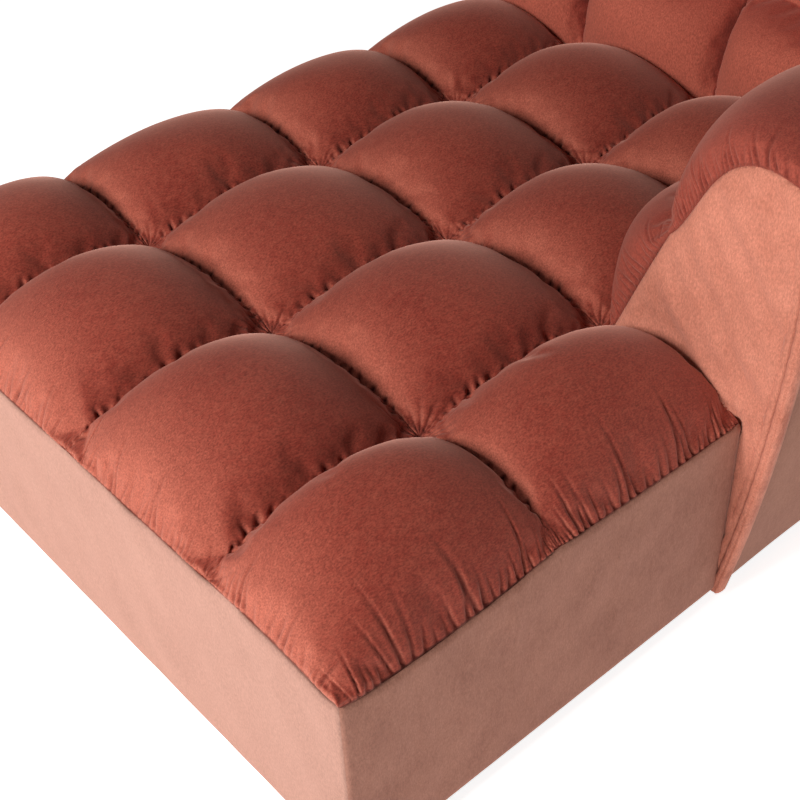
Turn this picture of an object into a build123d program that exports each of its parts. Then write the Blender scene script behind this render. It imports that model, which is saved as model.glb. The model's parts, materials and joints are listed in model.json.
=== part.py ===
# Chaise longue with one arm, a full-width back and a square-tufted velvet cover.
# X runs from the open side to the arm side, Y from the foot end to the back, Z up from the floor.
# Sizes are in millimetres. The origin is on the floor at the middle of the whole outline.
import os
from math import cos, pi, sqrt
from build123d import *

# Plan grid of the tufted squares
seat_columns = 3
seat_column = 305.0
foot_rows = 2
foot_row = 330.0
seat_rows = 2
seat_row = 305.0
roll_depth = 240.0
flare = 65.0

# Heights of the base, from the floor up
foot_height = 18.0
dust_cloth = 2.0
rail_height = 180.0
webbing = 1.5
hessian_cloth = 1.5
foam_height = 91.5
cover_slab = 24.0

# Lifts of the tufted squares above the seam plane
seam_lift = 6.0
hem_lift = 4.0
tuft_lift = 32.0
valley_lift = 65.0
crown_lift = 125.0
square_strips = 8
fullness = 0.7

# Timber, cloth and fastener sizes
skin = 10.0
rail_thickness = 22.0
stretcher_height = 100.0
block_leg = 80.0
block_height = 60.0
strap_width = 50.0
sill_thickness = 18.0
sill_lap = 8.0
sill_gap = 4.0
strap_end = 3.0
rib_thickness = 18.0
board_thickness = 5.0
hardboard = 3.0
batten_size = 30.0
batten_play = 0.2
batten_cover = 6.0
soft_gap = 0.3
tie_radius = 1.5
tie_hole_radius = 2.2
anchor_radius = 12.0
foot_side = 48.0
foot_taper = 6.0
foot_corner = 6.0
foot_inset = 60.0
joining_hole_radius = 4.5
joining_spacing = 610.0
joining_drop = 9.0
nut_flange_radius = 11.0
nut_flange = 1.5
nut_barrel_radius = 6.0
nut_barrel = 11.0

# Shared cross-section of arm and back. The first number of an inner point is its distance
# out from the seat line, of a crest point its distance out from the base's side face.
# The second number is the height above the seam plane.
outer_seam_up = 150.0
outer_bow = 9.0
edge_inner = ((4.0, 0.0), (98.0, 220.0))
edge_shoulder = (38.0, 340.0)
edge_bulges = (4.0, 60.0)
seam_inner = ((4.0, 0.0), (106.0, 220.0))
seam_shoulder = (37.0, 343.0)
seam_bulges = (8.0, 64.0)
crown_inner = ((16.0, 0.0), (84.0, 230.0))
crown_shoulder = (40.0, 384.0)
crown_bulges = (42.0, 114.0)
lining_inner = ((42.0, 0.0), (124.0, 206.0))
lining_crest = ((-50.0, 316.0), (26.0, 316.0))
lining_inset = 14.0
board_inner = ((69.0, 0.0), (146.0, 196.0))
board_crest = ((-42.0, 291.0), (12.0, 291.0))
board_outer = 38.0
outer_board_drop = 8.0

# Derived planes
seat_width = seat_columns * seat_column
base_width = seat_width + roll_depth
foot_length = foot_rows * foot_row
seat_length = seat_rows * seat_row
base_length = foot_length + seat_length + roll_depth
x_open = -(base_width + flare) / 2
x_side = x_open + base_width
x_arm = x_open + seat_width
y_foot = -(base_length + flare) / 2
y_arm = y_foot + foot_length
y_back = y_arm + seat_length
y_rear = y_foot + base_length
z_rail = foot_height + dust_cloth
z_deck = z_rail + rail_height
z_sill = z_deck + sill_thickness
z_hessian = z_deck + 2 * webbing
joining_height = z_deck - stretcher_height - nut_flange_radius - joining_drop
z_foam = z_hessian + hessian_cloth
z_slab = z_foam + foam_height
z_seam = z_slab + cover_slab
x_in = x_open + skin
x_out = x_side - skin
y_in = y_foot + skin
y_out = y_rear - skin
x_rail_in = x_in + rail_thickness
x_rail_out = x_out - rail_thickness
y_rail_in = y_in + rail_thickness
y_rail_out = y_out - rail_thickness
mid_lap = rail_thickness - sill_lap - sill_gap
column_lines = [x_open + seat_column * i for i in range(seat_columns + 1)]
row_lines = [y_foot + foot_row * i for i in range(foot_rows + 1)]
row_lines = row_lines + [y_arm + seat_row * (i + 1) for i in range(seat_rows)]
tuft_points = [(x, y) for x in column_lines[1:] for y in row_lines[1:-1]]
tuft_points = [p for p in tuft_points if not (p[0] >= x_arm and p[1] >= y_arm)]
foot_points = [
    (x_open + foot_inset, y_foot + foot_inset),
    (x_side - foot_inset, y_foot + foot_inset),
    (x_open + foot_inset, y_rear - foot_inset),
    (x_side - foot_inset, y_rear - foot_inset),
    (x_open + foot_inset, (y_foot + y_rear) / 2),
    (x_side - foot_inset, (y_foot + y_rear) / 2),
    ((x_open + x_side) / 2, y_foot + foot_inset),
    ((x_open + x_side) / 2, y_rear - foot_inset),
]
joining_points = [(y_foot + base_length / 2 - joining_spacing / 2), (y_foot + base_length / 2 + joining_spacing / 2)]


# Stations across a tufted square, closer together where it curves down to its seams
stations = [(1 - cos(pi * i / square_strips)) / 2 for i in range(square_strips + 1)]


# How far a square has risen from its seams to its crown at a station, from nought to one
def swell(station):
    return (1 - (2 * station - 1) ** 2) ** fullness


# Value at a station of a square that goes from start over its crown to end
def crowned(start, crown, end, station):
    return start + (end - start) * station + (crown - (start + end) / 2) * swell(station)


# Points along one square of a cross-section, which bulges to the left of the line from start to end
def bulged(start, end, bulge):
    run, climb = end[0] - start[0], end[1] - start[1]
    share = bulge / sqrt(run * run + climb * climb)
    points = []
    for station in stations[:-1]:
        out = share * swell(station)
        points.append((start[0] + run * station - climb * out, start[1] + climb * station + run * out))
    return points


# Point of the shared cross-section as distance out from the seat line and height above the floor.
def inner_point(point):
    return (point[0], z_seam + point[1])


def outer_point(point):
    return (roll_depth + point[0], z_seam + point[1])


# Vertical plane that cuts the arm (along Y) or the back (along X). A slant of one is the corner mitre.
def arm_plane(at, slant):
    return Plane(origin=(x_arm, at, 0), x_dir=(1, slant, 0), z_dir=(slant, -1, 0))


def back_plane(at, slant):
    return Plane(origin=(at, y_back, 0), x_dir=(slant, 1, 0), z_dir=(1, -slant, 0))


# The points of a cross-section stretched along a slanted plane
def stretched(points, slant):
    return [(p[0] * sqrt(1 + slant * slant), p[1]) for p in points]


# Cross-section points at a station between two seams
def crowned_points(first, station):
    points = []
    for start, crown, end in zip(first, crown_points, seam_points):
        points.append((crowned(start[0], crown[0], end[0], station), crowned(start[1], crown[1], end[1], station)))
    return points


edge_points = [inner_point(p) for p in edge_inner] + [outer_point(edge_shoulder)]
seam_points = [inner_point(p) for p in seam_inner] + [outer_point(seam_shoulder)]
crown_points = [inner_point(p) for p in crown_inner] + [outer_point(crown_shoulder)]
outer_seam = outer_point((flare, outer_seam_up))
lining_points = [outer_point((flare - lining_inset, outer_seam_up))]
lining_points = lining_points + [outer_point(p) for p in reversed(lining_crest)]
lining_points = lining_points + [inner_point(p) for p in reversed(lining_inner)]
board_points = [outer_point((board_outer, outer_seam_up))]
board_points = board_points + [outer_point(p) for p in reversed(board_crest)]
board_points = board_points + [inner_point(p) for p in reversed(board_inner)]
board_foot = (board_inner[0][0], z_sill)
# The outer board lies on the straight chord behind the bowed outer cover
outer_chord = (flare - lining_inset + skin) / (outer_seam[1] - foot_height)
outer_board_low = roll_depth - skin - soft_gap
outer_board_foot = (outer_board_low + outer_chord * (z_sill - foot_height), z_sill)
outer_board_up = outer_seam[1] - outer_board_drop
outer_board_top = (outer_board_low + outer_chord * (outer_board_up - foot_height), outer_board_up)
rib_inner = [(p[0] + board_thickness, p[1]) for p in board_points[:1:-1]]
rib_outline = [(rib_inner[0][0], z_sill)] + rib_inner
rib_outline = rib_outline + [(board_points[1][0] - board_thickness, rib_inner[-1][1]), board_points[0]]
rib_outline = rib_outline + [(outer_board_top[0] - hardboard, outer_board_top[1])]
rib_outline = rib_outline + [(outer_board_foot[0] - hardboard, z_sill)]
top_batten = ((rib_inner[2][0] + board_points[1][0] - board_thickness) / 2, rib_inner[2][1] - batten_size / 2 - batten_cover)
tuft_batten = (rib_inner[1][0] + batten_size / 2 + 2 * batten_cover, rib_inner[1][1] - batten_size / 2 - batten_cover)
seat_batten = (rib_inner[0][0] + batten_size / 2 + 2 * batten_cover, rib_inner[0][1] + batten_size / 2)
batten_centres = [top_batten, tuft_batten, seat_batten]
outer_board_outline = [
    outer_board_foot,
    outer_board_top,
    (outer_board_top[0] - hardboard, outer_board_top[1]),
    (outer_board_foot[0] - hardboard, outer_board_foot[1]),
]

# Bays of tufted squares along the arm and the back: start, length at the seat line, and turn into the mitre
arm_bays = [(y_arm + seat_row * i, seat_row, 0) for i in range(seat_rows - 1)] + [(y_back - seat_row, seat_row, 1)]
arm_bays[0] = (arm_bays[0][0] + skin, arm_bays[0][1] - skin, arm_bays[0][2])
back_bays = [(x_open + seat_column * i, seat_column, 0) for i in range(seat_columns - 1)] + [(x_arm - seat_column, seat_column, 1)]
back_bays[0] = (back_bays[0][0] + skin, back_bays[0][1] - skin, back_bays[0][2])

# Base frame
with BuildPart() as foot_end_rail:
    with Locations(((x_in + x_out) / 2, y_in, z_rail)):
        Box(x_out - x_in, rail_thickness, rail_height, align=(Align.CENTER, Align.MIN, Align.MIN))

with BuildPart() as rear_rail:
    with Locations(((x_in + x_out) / 2, y_out, z_rail)):
        Box(x_out - x_in, rail_thickness, rail_height, align=(Align.CENTER, Align.MAX, Align.MIN))

with BuildPart() as open_side_rail:
    with Locations((x_in, (y_rail_in + y_rail_out) / 2, z_rail)):
        Box(rail_thickness, y_rail_out - y_rail_in, rail_height, align=(Align.MIN, Align.CENTER, Align.MIN))
    with BuildSketch(Plane.YZ.offset(x_in)):
        with Locations([(y, joining_height) for y in joining_points]):
            Circle(joining_hole_radius)
    extrude(amount=rail_thickness, mode=Mode.SUBTRACT)
    with BuildSketch(Plane.YZ.offset(x_rail_in - nut_barrel)):
        with Locations([(y, joining_height) for y in joining_points]):
            Circle(nut_barrel_radius)
    extrude(amount=nut_barrel, mode=Mode.SUBTRACT)

with BuildPart() as arm_side_rail:
    with Locations((x_out, (y_rail_in + y_rail_out) / 2, z_rail)):
        Box(rail_thickness, y_rail_out - y_rail_in, rail_height, align=(Align.MAX, Align.CENTER, Align.MIN))

with BuildPart() as arm_front_rail:
    with Locations((x_arm - mid_lap, y_arm - mid_lap, z_rail)):
        Box(x_rail_out - x_arm + mid_lap, rail_thickness, rail_height, align=(Align.MIN, Align.MIN, Align.MIN))

with BuildPart() as arm_inner_rail:
    with Locations((x_arm - mid_lap, y_arm - mid_lap + rail_thickness, z_rail)):
        Box(rail_thickness, y_rail_out - y_arm + mid_lap - rail_thickness, rail_height, align=(Align.MIN, Align.MIN, Align.MIN))

with BuildPart() as seat_rear_rail:
    with Locations((x_rail_in, y_back - mid_lap, z_rail)):
        Box(x_arm - mid_lap - x_rail_in, rail_thickness, rail_height, align=(Align.MIN, Align.MIN, Align.MIN))

with BuildPart() as seat_stretchers:
    for row in range(foot_rows + seat_rows):
        x_end = x_rail_out if row < foot_rows else x_arm - mid_lap
        with Locations((x_rail_in, (row_lines[row] + row_lines[row + 1]) / 2, z_deck)):
            Box(x_end - x_rail_in, rail_thickness, stretcher_height, align=(Align.MIN, Align.CENTER, Align.MAX))

with BuildPart() as foot_blocks:
    for x, across in ((x_rail_in, 1), (x_rail_out, -1)):
        for y, along in ((y_rail_in, 1), (y_rail_out, -1)):
            with BuildSketch(Plane.XY.offset(z_rail)):
                with BuildLine():
                    Polyline((x, y), (x + across * block_leg, y), (x, y + along * block_leg), close=True)
                make_face()
            extrude(amount=block_height)
    for x, y in foot_points[4:6]:
        x_wall = x_rail_in if x < (x_open + x_side) / 2 else x_rail_out
        with Locations((x_wall, y, z_rail)):
            Box(block_leg * 0.8, block_leg, block_height, align=(Align.MIN if x_wall == x_rail_in else Align.MAX, Align.CENTER, Align.MIN))
    for x, y in foot_points[6:]:
        y_wall = y_rail_in if y < (y_foot + y_rear) / 2 else y_rail_out
        with Locations((x, y_wall, z_rail)):
            Box(block_leg, block_leg * 0.8, block_height, align=(Align.CENTER, Align.MIN if y_wall == y_rail_in else Align.MAX, Align.MIN))

# Webbing, hessian, foam and ties of the seat
with BuildPart() as lengthwise_webbing:
    for column in range(seat_columns):
        for part_way in (0.25, 0.75):
            with Locations((x_open + seat_column * (column + part_way), y_in, z_deck)):
                Box(strap_width, y_back + strap_end - y_in, webbing, align=(Align.CENTER, Align.MIN, Align.MIN))
    for part_way in (0.28, 0.72):
        with Locations((x_arm + roll_depth * part_way, y_in, z_deck)):
            Box(strap_width, y_arm + strap_end - y_in, webbing, align=(Align.CENTER, Align.MIN, Align.MIN))

with BuildPart() as crosswise_webbing:
    for row in range(foot_rows + seat_rows):
        x_end = x_out if row < foot_rows else x_arm + strap_end
        for part_way in (0.25, 0.75):
            y = row_lines[row] + (row_lines[row + 1] - row_lines[row]) * part_way
            with Locations((x_in, y, z_deck + webbing)):
                Box(x_end - x_in, strap_width, webbing, align=(Align.MIN, Align.CENTER, Align.MIN))

with BuildPart() as hessian:
    with BuildSketch(Plane.XY.offset(z_hessian)):
        with BuildLine():
            Polyline((x_in, y_in), (x_out, y_in), (x_out, y_arm), (x_arm, y_arm), (x_arm, y_back), (x_in, y_back), close=True)
        make_face()
        with Locations(tuft_points):
            RegularPolygon(tie_hole_radius, 6, mode=Mode.SUBTRACT)
    extrude(amount=hessian_cloth)

with BuildPart() as seat_foam:
    with BuildSketch(Plane.XY.offset(z_foam)):
        with BuildLine():
            Polyline((x_in, y_in), (x_out, y_in), (x_out, y_arm), (x_arm, y_arm), (x_arm, y_back), (x_in, y_back), close=True)
        make_face()
        with Locations(tuft_points):
            RegularPolygon(tie_hole_radius, 6, mode=Mode.SUBTRACT)
    extrude(amount=foam_height)

with BuildPart() as tuft_ties:
    with BuildSketch(Plane.XY.offset(z_deck)):
        with Locations(tuft_points):
            RegularPolygon(tie_radius, 6)
    extrude(amount=z_slab - z_deck)

with BuildPart() as tuft_anchors:
    with BuildSketch(Plane.XY.offset(z_deck)):
        with Locations(tuft_points):
            RegularPolygon(anchor_radius, 6)
            RegularPolygon(tie_hole_radius, 6, mode=Mode.SUBTRACT)
    extrude(amount=2 * webbing)

# Tufted seat cover: every row of squares is one loft from its front line over its crown to its rear line
with BuildPart() as seat_cover:
    with BuildSketch(Plane.XY.offset(z_slab)):
        with BuildLine():
            Polyline((x_in, y_in), (x_out, y_in), (x_out, y_arm), (x_arm, y_arm), (x_arm, y_back), (x_in, y_back), close=True)
        make_face()
    extrude(amount=cover_slab)
    for row in range(foot_rows + seat_rows):
        lines = column_lines + [x_side] if row < foot_rows else column_lines
        front_low, front_high = (seam_lift, seam_lift + hem_lift) if row == 0 else (tuft_lift, valley_lift)
        for station in stations:
            y = row_lines[row] + (row_lines[row + 1] - row_lines[row]) * station
            low = crowned(front_low, valley_lift, tuft_lift, station)
            high = crowned(front_high, crown_lift, valley_lift, station)
            rises = [seam_lift] + [low for _ in lines[1:]]
            if row < foot_rows:
                rises[-1] = seam_lift
            with BuildSketch(Plane(origin=(0, y, z_seam), x_dir=(1, 0, 0), z_dir=(0, -1, 0))):
                with BuildLine():
                    outline = [(lines[0], 0)]
                    for i in range(len(lines) - 1):
                        for part_way in stations[:-1]:
                            x = lines[i] + (lines[i + 1] - lines[i]) * part_way
                            outline.append((x, crowned(rises[i], high, rises[i + 1], part_way)))
                    Polyline(*outline, (lines[-1], rises[-1]), (lines[-1], 0), close=True)
                make_face()
        loft(ruled=True)

# Border panels of the block base
with BuildPart() as foot_border:
    with Locations(((x_open + x_side) / 2, y_foot, foot_height)):
        Box(base_width, skin, z_seam - foot_height, align=(Align.CENTER, Align.MIN, Align.MIN))

with BuildPart() as open_side_border:
    with Locations((x_open, y_in, foot_height)):
        Box(skin, y_rear - y_in, z_seam - foot_height, align=(Align.MIN, Align.MIN, Align.MIN))
    with BuildSketch(Plane.YZ.offset(x_open)):
        with Locations([(y, joining_height) for y in joining_points]):
            Circle(joining_hole_radius)
    extrude(amount=skin, mode=Mode.SUBTRACT)

with BuildPart() as arm_side_border:
    with Locations((x_side, y_in, foot_height)):
        Box(skin, y_arm + skin - y_in, z_seam - foot_height, align=(Align.MAX, Align.MIN, Align.MIN))

# Arm frame
with BuildPart() as arm_sill:
    with Locations((x_arm + sill_gap, y_arm + sill_gap, z_deck)):
        Box(x_out - x_arm - sill_gap, y_back - y_arm, sill_thickness, align=(Align.MIN, Align.MIN, Align.MIN))

with BuildPart() as arm_ribs:
    for y in (y_arm + skin, y_arm + seat_row - rib_thickness / 2, y_back - rib_thickness):
        with BuildSketch(arm_plane(y, 0)):
            with BuildLine():
                Polyline(*rib_outline, close=True)
            make_face()
            with Locations(batten_centres):
                Rectangle(batten_size + 2 * batten_play, batten_size + 2 * batten_play, mode=Mode.SUBTRACT)
        extrude(amount=-rib_thickness)

with BuildPart() as arm_battens:
    for centre in batten_centres:
        for at, slant in ((y_arm + skin, 0), (y_back, 1)):
            with BuildSketch(arm_plane(at, slant)):
                with Locations((centre[0] * sqrt(1 + slant * slant), centre[1])):
                    Rectangle(batten_size * sqrt(1 + slant * slant), batten_size)
        loft()

with BuildPart() as arm_inner_board:
    for at, slant in ((y_arm + skin, 0), (y_back, 1)):
        with BuildSketch(arm_plane(at, slant)):
            with BuildLine():
                outline = [board_foot] + board_points[:1:-1] + rib_inner[::-1] + [rib_outline[0]]
                Polyline(*stretched(outline, slant), close=True)
            make_face()
    loft()

with BuildPart() as arm_outer_board:
    for at, slant in ((y_arm + skin, 0), (y_back, 1)):
        with BuildSketch(arm_plane(at, slant)):
            with BuildLine():
                Polyline(*stretched(outer_board_outline, slant), close=True)
            make_face()
    loft()

with BuildPart() as arm_foam:
    for at, slant in ((y_arm + skin, 0), (y_back, 1)):
        with BuildSketch(arm_plane(at, slant)):
            with BuildLine():
                Polyline(*stretched(lining_points + board_points[::-1], slant), close=True)
            make_face()
    loft()

# Arm covers
with BuildPart() as arm_front_facing:
    with BuildSketch(arm_plane(y_arm, 0)):
        with BuildLine():
            for i in range(2):
                SagittaArc(edge_points[i], edge_points[i + 1], edge_bulges[i])
            Line(edge_points[2], outer_seam)
            SagittaArc(outer_seam, (roll_depth, foot_height), outer_bow)
            Polyline((roll_depth, foot_height), (roll_depth, z_seam), edge_points[0])
        make_face()
    extrude(amount=-skin)

with BuildPart() as arm_cover:
    for bay, (start, length, turn) in enumerate(arm_bays):
        first, first_bulges = (edge_points, edge_bulges) if bay == 0 else (seam_points, seam_bulges)
        for station in stations:
            slant = turn * station
            with BuildSketch(arm_plane(start + length * station, slant)):
                with BuildLine():
                    chain = crowned_points(first, station) + [outer_seam]
                    outline = []
                    for i in range(2):
                        bulge = crowned(first_bulges[i], crown_bulges[i], seam_bulges[i], station)
                        outline = outline + bulged(chain[i], chain[i + 1], bulge)
                    Polyline(*stretched(outline + chain[2:] + lining_points, slant), close=True)
                make_face()
        loft(ruled=True)

with BuildPart() as arm_outer_cover:
    for at, slant in ((y_arm + skin, 0), (y_back, 1)):
        with BuildSketch(arm_plane(at, slant)):
            with BuildLine():
                top, low = stretched([outer_seam, (roll_depth, foot_height)], slant)
                top_in, low_in = stretched([(outer_seam[0] - lining_inset, outer_seam[1]), (roll_depth - skin, foot_height)], slant)
                SagittaArc(top, low, outer_bow)
                Line(low, low_in)
                SagittaArc(low_in, top_in, -outer_bow)
                Line(top_in, top)
            make_face()
    loft()

# Back frame
with BuildPart() as back_sill:
    with Locations((x_in, y_back + sill_gap, z_deck)):
        Box(x_out - x_in, y_out - y_back - sill_gap, sill_thickness, align=(Align.MIN, Align.MIN, Align.MIN))

with BuildPart() as back_ribs:
    rib_lines = [x_open + skin] + [x - rib_thickness / 2 for x in column_lines[1:-1]] + [x_arm - rib_thickness]
    for x in rib_lines:
        with BuildSketch(back_plane(x, 0)):
            with BuildLine():
                Polyline(*rib_outline, close=True)
            make_face()
            with Locations(batten_centres):
                Rectangle(batten_size + 2 * batten_play, batten_size + 2 * batten_play, mode=Mode.SUBTRACT)
        extrude(amount=rib_thickness)

with BuildPart() as back_battens:
    for centre in batten_centres:
        for at, slant in ((x_open + skin, 0), (x_arm, 1)):
            with BuildSketch(back_plane(at, slant)):
                with Locations((centre[0] * sqrt(1 + slant * slant), centre[1])):
                    Rectangle(batten_size * sqrt(1 + slant * slant), batten_size)
        loft()

with BuildPart() as back_inner_board:
    for at, slant in ((x_open + skin, 0), (x_arm, 1)):
        with BuildSketch(back_plane(at, slant)):
            with BuildLine():
                outline = [board_foot] + board_points[:1:-1] + rib_inner[::-1] + [rib_outline[0]]
                Polyline(*stretched(outline, slant), close=True)
            make_face()
    loft()

with BuildPart() as back_outer_board:
    for at, slant in ((x_open + skin, 0), (x_arm, 1)):
        with BuildSketch(back_plane(at, slant)):
            with BuildLine():
                Polyline(*stretched(outer_board_outline, slant), close=True)
            make_face()
    loft()

with BuildPart() as back_foam:
    for at, slant in ((x_open + skin, 0), (x_arm, 1)):
        with BuildSketch(back_plane(at, slant)):
            with BuildLine():
                Polyline(*stretched(lining_points + board_points[::-1], slant), close=True)
            make_face()
    loft()

# Back covers
with BuildPart() as back_end_facing:
    with BuildSketch(back_plane(x_open, 0)):
        with BuildLine():
            for i in range(2):
                SagittaArc(edge_points[i], edge_points[i + 1], edge_bulges[i])
            Line(edge_points[2], outer_seam)
            SagittaArc(outer_seam, (roll_depth, foot_height), outer_bow)
            Polyline((roll_depth, foot_height), (roll_depth, z_seam), edge_points[0])
        make_face()
    extrude(amount=skin)

with BuildPart() as back_cover:
    for bay, (start, length, turn) in enumerate(back_bays):
        first, first_bulges = (edge_points, edge_bulges) if bay == 0 else (seam_points, seam_bulges)
        for station in stations:
            slant = turn * station
            with BuildSketch(back_plane(start + length * station, slant)):
                with BuildLine():
                    chain = crowned_points(first, station) + [outer_seam]
                    outline = []
                    for i in range(2):
                        bulge = crowned(first_bulges[i], crown_bulges[i], seam_bulges[i], station)
                        outline = outline + bulged(chain[i], chain[i + 1], bulge)
                    Polyline(*stretched(outline + chain[2:] + lining_points, slant), close=True)
                make_face()
        loft(ruled=True)

with BuildPart() as back_outer_cover:
    for at, slant in ((x_open + skin, 0), (x_arm, 1)):
        with BuildSketch(back_plane(at, slant)):
            with BuildLine():
                top, low = stretched([outer_seam, (roll_depth, foot_height)], slant)
                top_in, low_in = stretched([(outer_seam[0] - lining_inset, outer_seam[1]), (roll_depth - skin, foot_height)], slant)
                SagittaArc(top, low, outer_bow)
                Line(low, low_in)
                SagittaArc(low_in, top_in, -outer_bow)
                Line(top_in, top)
            make_face()
    loft()

# Underside and hardware
with BuildPart() as dust_cover:
    with Locations(((x_in + x_out) / 2, (y_in + y_out) / 2, foot_height)):
        Box(x_out - x_in, y_out - y_in, dust_cloth, align=(Align.CENTER, Align.CENTER, Align.MIN))

with BuildPart() as feet:
    with BuildSketch(Plane.XY.offset(foot_height)):
        with Locations(foot_points):
            Rectangle(foot_side, foot_side)
    extrude(amount=-foot_height, taper=foot_taper)

with BuildPart() as joining_nuts:
    with BuildSketch(Plane.YZ.offset(x_rail_in)):
        with Locations([(y, joining_height) for y in joining_points]):
            Circle(nut_flange_radius)
            Circle(joining_hole_radius, mode=Mode.SUBTRACT)
    extrude(amount=nut_flange)
    with BuildSketch(Plane.YZ.offset(x_rail_in - nut_barrel + 1.0)):
        with Locations([(y, joining_height) for y in joining_points]):
            Circle(nut_barrel_radius - 0.1)
            Circle(joining_hole_radius, mode=Mode.SUBTRACT)
    extrude(amount=nut_barrel - 1.0)

pieces = {
    "foot_end_rail": foot_end_rail,
    "rear_rail": rear_rail,
    "open_side_rail": open_side_rail,
    "arm_side_rail": arm_side_rail,
    "arm_front_rail": arm_front_rail,
    "arm_inner_rail": arm_inner_rail,
    "seat_rear_rail": seat_rear_rail,
    "seat_stretchers": seat_stretchers,
    "foot_blocks": foot_blocks,
    "lengthwise_webbing": lengthwise_webbing,
    "crosswise_webbing": crosswise_webbing,
    "hessian": hessian,
    "seat_foam": seat_foam,
    "tuft_ties": tuft_ties,
    "tuft_anchors": tuft_anchors,
    "seat_cover": seat_cover,
    "foot_border": foot_border,
    "open_side_border": open_side_border,
    "arm_side_border": arm_side_border,
    "arm_sill": arm_sill,
    "arm_ribs": arm_ribs,
    "arm_battens": arm_battens,
    "arm_inner_board": arm_inner_board,
    "arm_outer_board": arm_outer_board,
    "arm_foam": arm_foam,
    "arm_front_facing": arm_front_facing,
    "arm_cover": arm_cover,
    "arm_outer_cover": arm_outer_cover,
    "back_sill": back_sill,
    "back_ribs": back_ribs,
    "back_battens": back_battens,
    "back_inner_board": back_inner_board,
    "back_outer_board": back_outer_board,
    "back_foam": back_foam,
    "back_end_facing": back_end_facing,
    "back_cover": back_cover,
    "back_outer_cover": back_outer_cover,
    "dust_cover": dust_cover,
    "feet": feet,
    "joining_nuts": joining_nuts,
}

os.makedirs("parts", exist_ok=True)
for name, piece in pieces.items():
    piece.part.label = name
    export_step(piece.part, f"parts/{name}.step")
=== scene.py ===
# Chaise longue with one arm, a full-width back and a square-tufted cover of salmon velvet.
# X runs from the open side to the arm side, Y from the foot end to the back, Z up from the floor, in metres.
import json
import math

import bmesh
import bpy
import numpy as np
from mathutils import Matrix, Vector


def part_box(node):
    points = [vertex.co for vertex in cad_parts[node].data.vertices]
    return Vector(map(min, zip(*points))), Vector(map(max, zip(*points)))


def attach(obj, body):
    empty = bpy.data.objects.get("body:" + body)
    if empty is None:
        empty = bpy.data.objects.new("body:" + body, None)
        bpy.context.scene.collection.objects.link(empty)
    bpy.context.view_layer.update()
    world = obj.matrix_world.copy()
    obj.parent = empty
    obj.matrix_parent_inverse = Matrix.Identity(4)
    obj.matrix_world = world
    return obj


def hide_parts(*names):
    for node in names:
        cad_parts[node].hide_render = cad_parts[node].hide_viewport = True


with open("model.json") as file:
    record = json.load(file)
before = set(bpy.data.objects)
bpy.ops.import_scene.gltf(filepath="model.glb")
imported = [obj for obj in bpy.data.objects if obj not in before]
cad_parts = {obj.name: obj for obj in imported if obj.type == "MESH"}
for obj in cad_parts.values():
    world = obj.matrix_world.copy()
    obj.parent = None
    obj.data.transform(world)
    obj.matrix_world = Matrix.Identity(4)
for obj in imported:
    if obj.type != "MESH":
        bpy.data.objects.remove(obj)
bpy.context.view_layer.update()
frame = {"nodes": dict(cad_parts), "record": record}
nodes = frame["nodes"]


# Base frame: planed softwood rails, stretchers and corner blocks, glued and screwed into a box.
# It is raw pine, because the cover hides all of it.
def linear(hex_code):
    channels = [int(hex_code[i : i + 2], 16) / 255 for i in (1, 3, 5)]
    return [c / 12.92 if c <= 0.04045 else ((c + 0.055) / 1.055) ** 2.4 for c in channels] + [1.0]


def new_material(name):
    material = bpy.data.materials.new(name)
    material.use_nodes = True
    return material, material.node_tree, material.node_tree.nodes["Principled BSDF"]


def add_node(tree, kind, settings, links):
    node = tree.nodes.new(kind)
    for key, value in settings.items():
        if isinstance(key, str) and hasattr(node, key):
            setattr(node, key, value)
        else:
            node.inputs[key].default_value = value
    for key, (source, output) in links.items():
        tree.links.new(source.outputs[output], node.inputs[key])
    return node


def finish_nodes(names, material):
    for name in names:
        for slot in nodes[name].material_slots:
            slot.material = material


# A colour mix has its two colours at inputs 6 and 7 and its colour result at output 2
MIX_A, MIX_B, MIX_OUT = 6, 7, 2
# At a scale of one a wave pattern repeats every 0.314, and a noise has blots of about 0.5
WAVE_REPEAT = 0.314
NOISE_BLOT = 0.5


# Spreads two colours over a surface by one pattern, and raises it by the same pattern or another
def two_tones(tree, surface, first, second, pattern, relief, strength, height):
    tint = add_node(
        tree,
        "ShaderNodeMix",
        {"data_type": "RGBA", MIX_A: linear(first), MIX_B: linear(second)},
        {0: pattern},
    )
    bump = add_node(tree, "ShaderNodeBump", {"Strength": strength, "Distance": height}, {"Height": relief})
    tree.links.new(tint.outputs[MIX_OUT], surface.inputs["Base Color"])
    tree.links.new(bump.outputs["Normal"], surface.inputs["Normal"])


# Planed pine: pale yellow wood with darker growth rings about 5 mm apart, dull and dry
def planed_pine():
    ring_spacing = 0.005233
    fibre_width = 0.0012
    material, tree, surface = new_material("planed_pine")
    place = add_node(tree, "ShaderNodeTexCoord", {}, {})
    rings = add_node(
        tree,
        "ShaderNodeTexWave",
        {"Scale": WAVE_REPEAT / ring_spacing, "Distortion": 6.0, "Detail": 3.0, "Detail Scale": 0.6},
        {"Vector": (place, "Object")},
    )
    fibres = add_node(
        tree,
        "ShaderNodeTexNoise",
        {"Scale": NOISE_BLOT / fibre_width, "Detail": 4.0},
        {"Vector": (place, "Object")},
    )
    two_tones(tree, surface, "#E6CA9C", "#C99C63", (rings, "Fac"), (fibres, "Fac"), 0.3, 0.0004)
    surface.inputs["Roughness"].default_value = 0.62
    surface.inputs["IOR"].default_value = 1.5
    return material


pine = planed_pine()
finish_nodes(
    (
        "foot_end_rail",
        "rear_rail",
        "open_side_rail",
        "arm_side_rail",
        "arm_front_rail",
        "arm_inner_rail",
        "seat_rear_rail",
        "seat_stretchers",
        "foot_blocks",
    ),
    pine,
)


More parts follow.
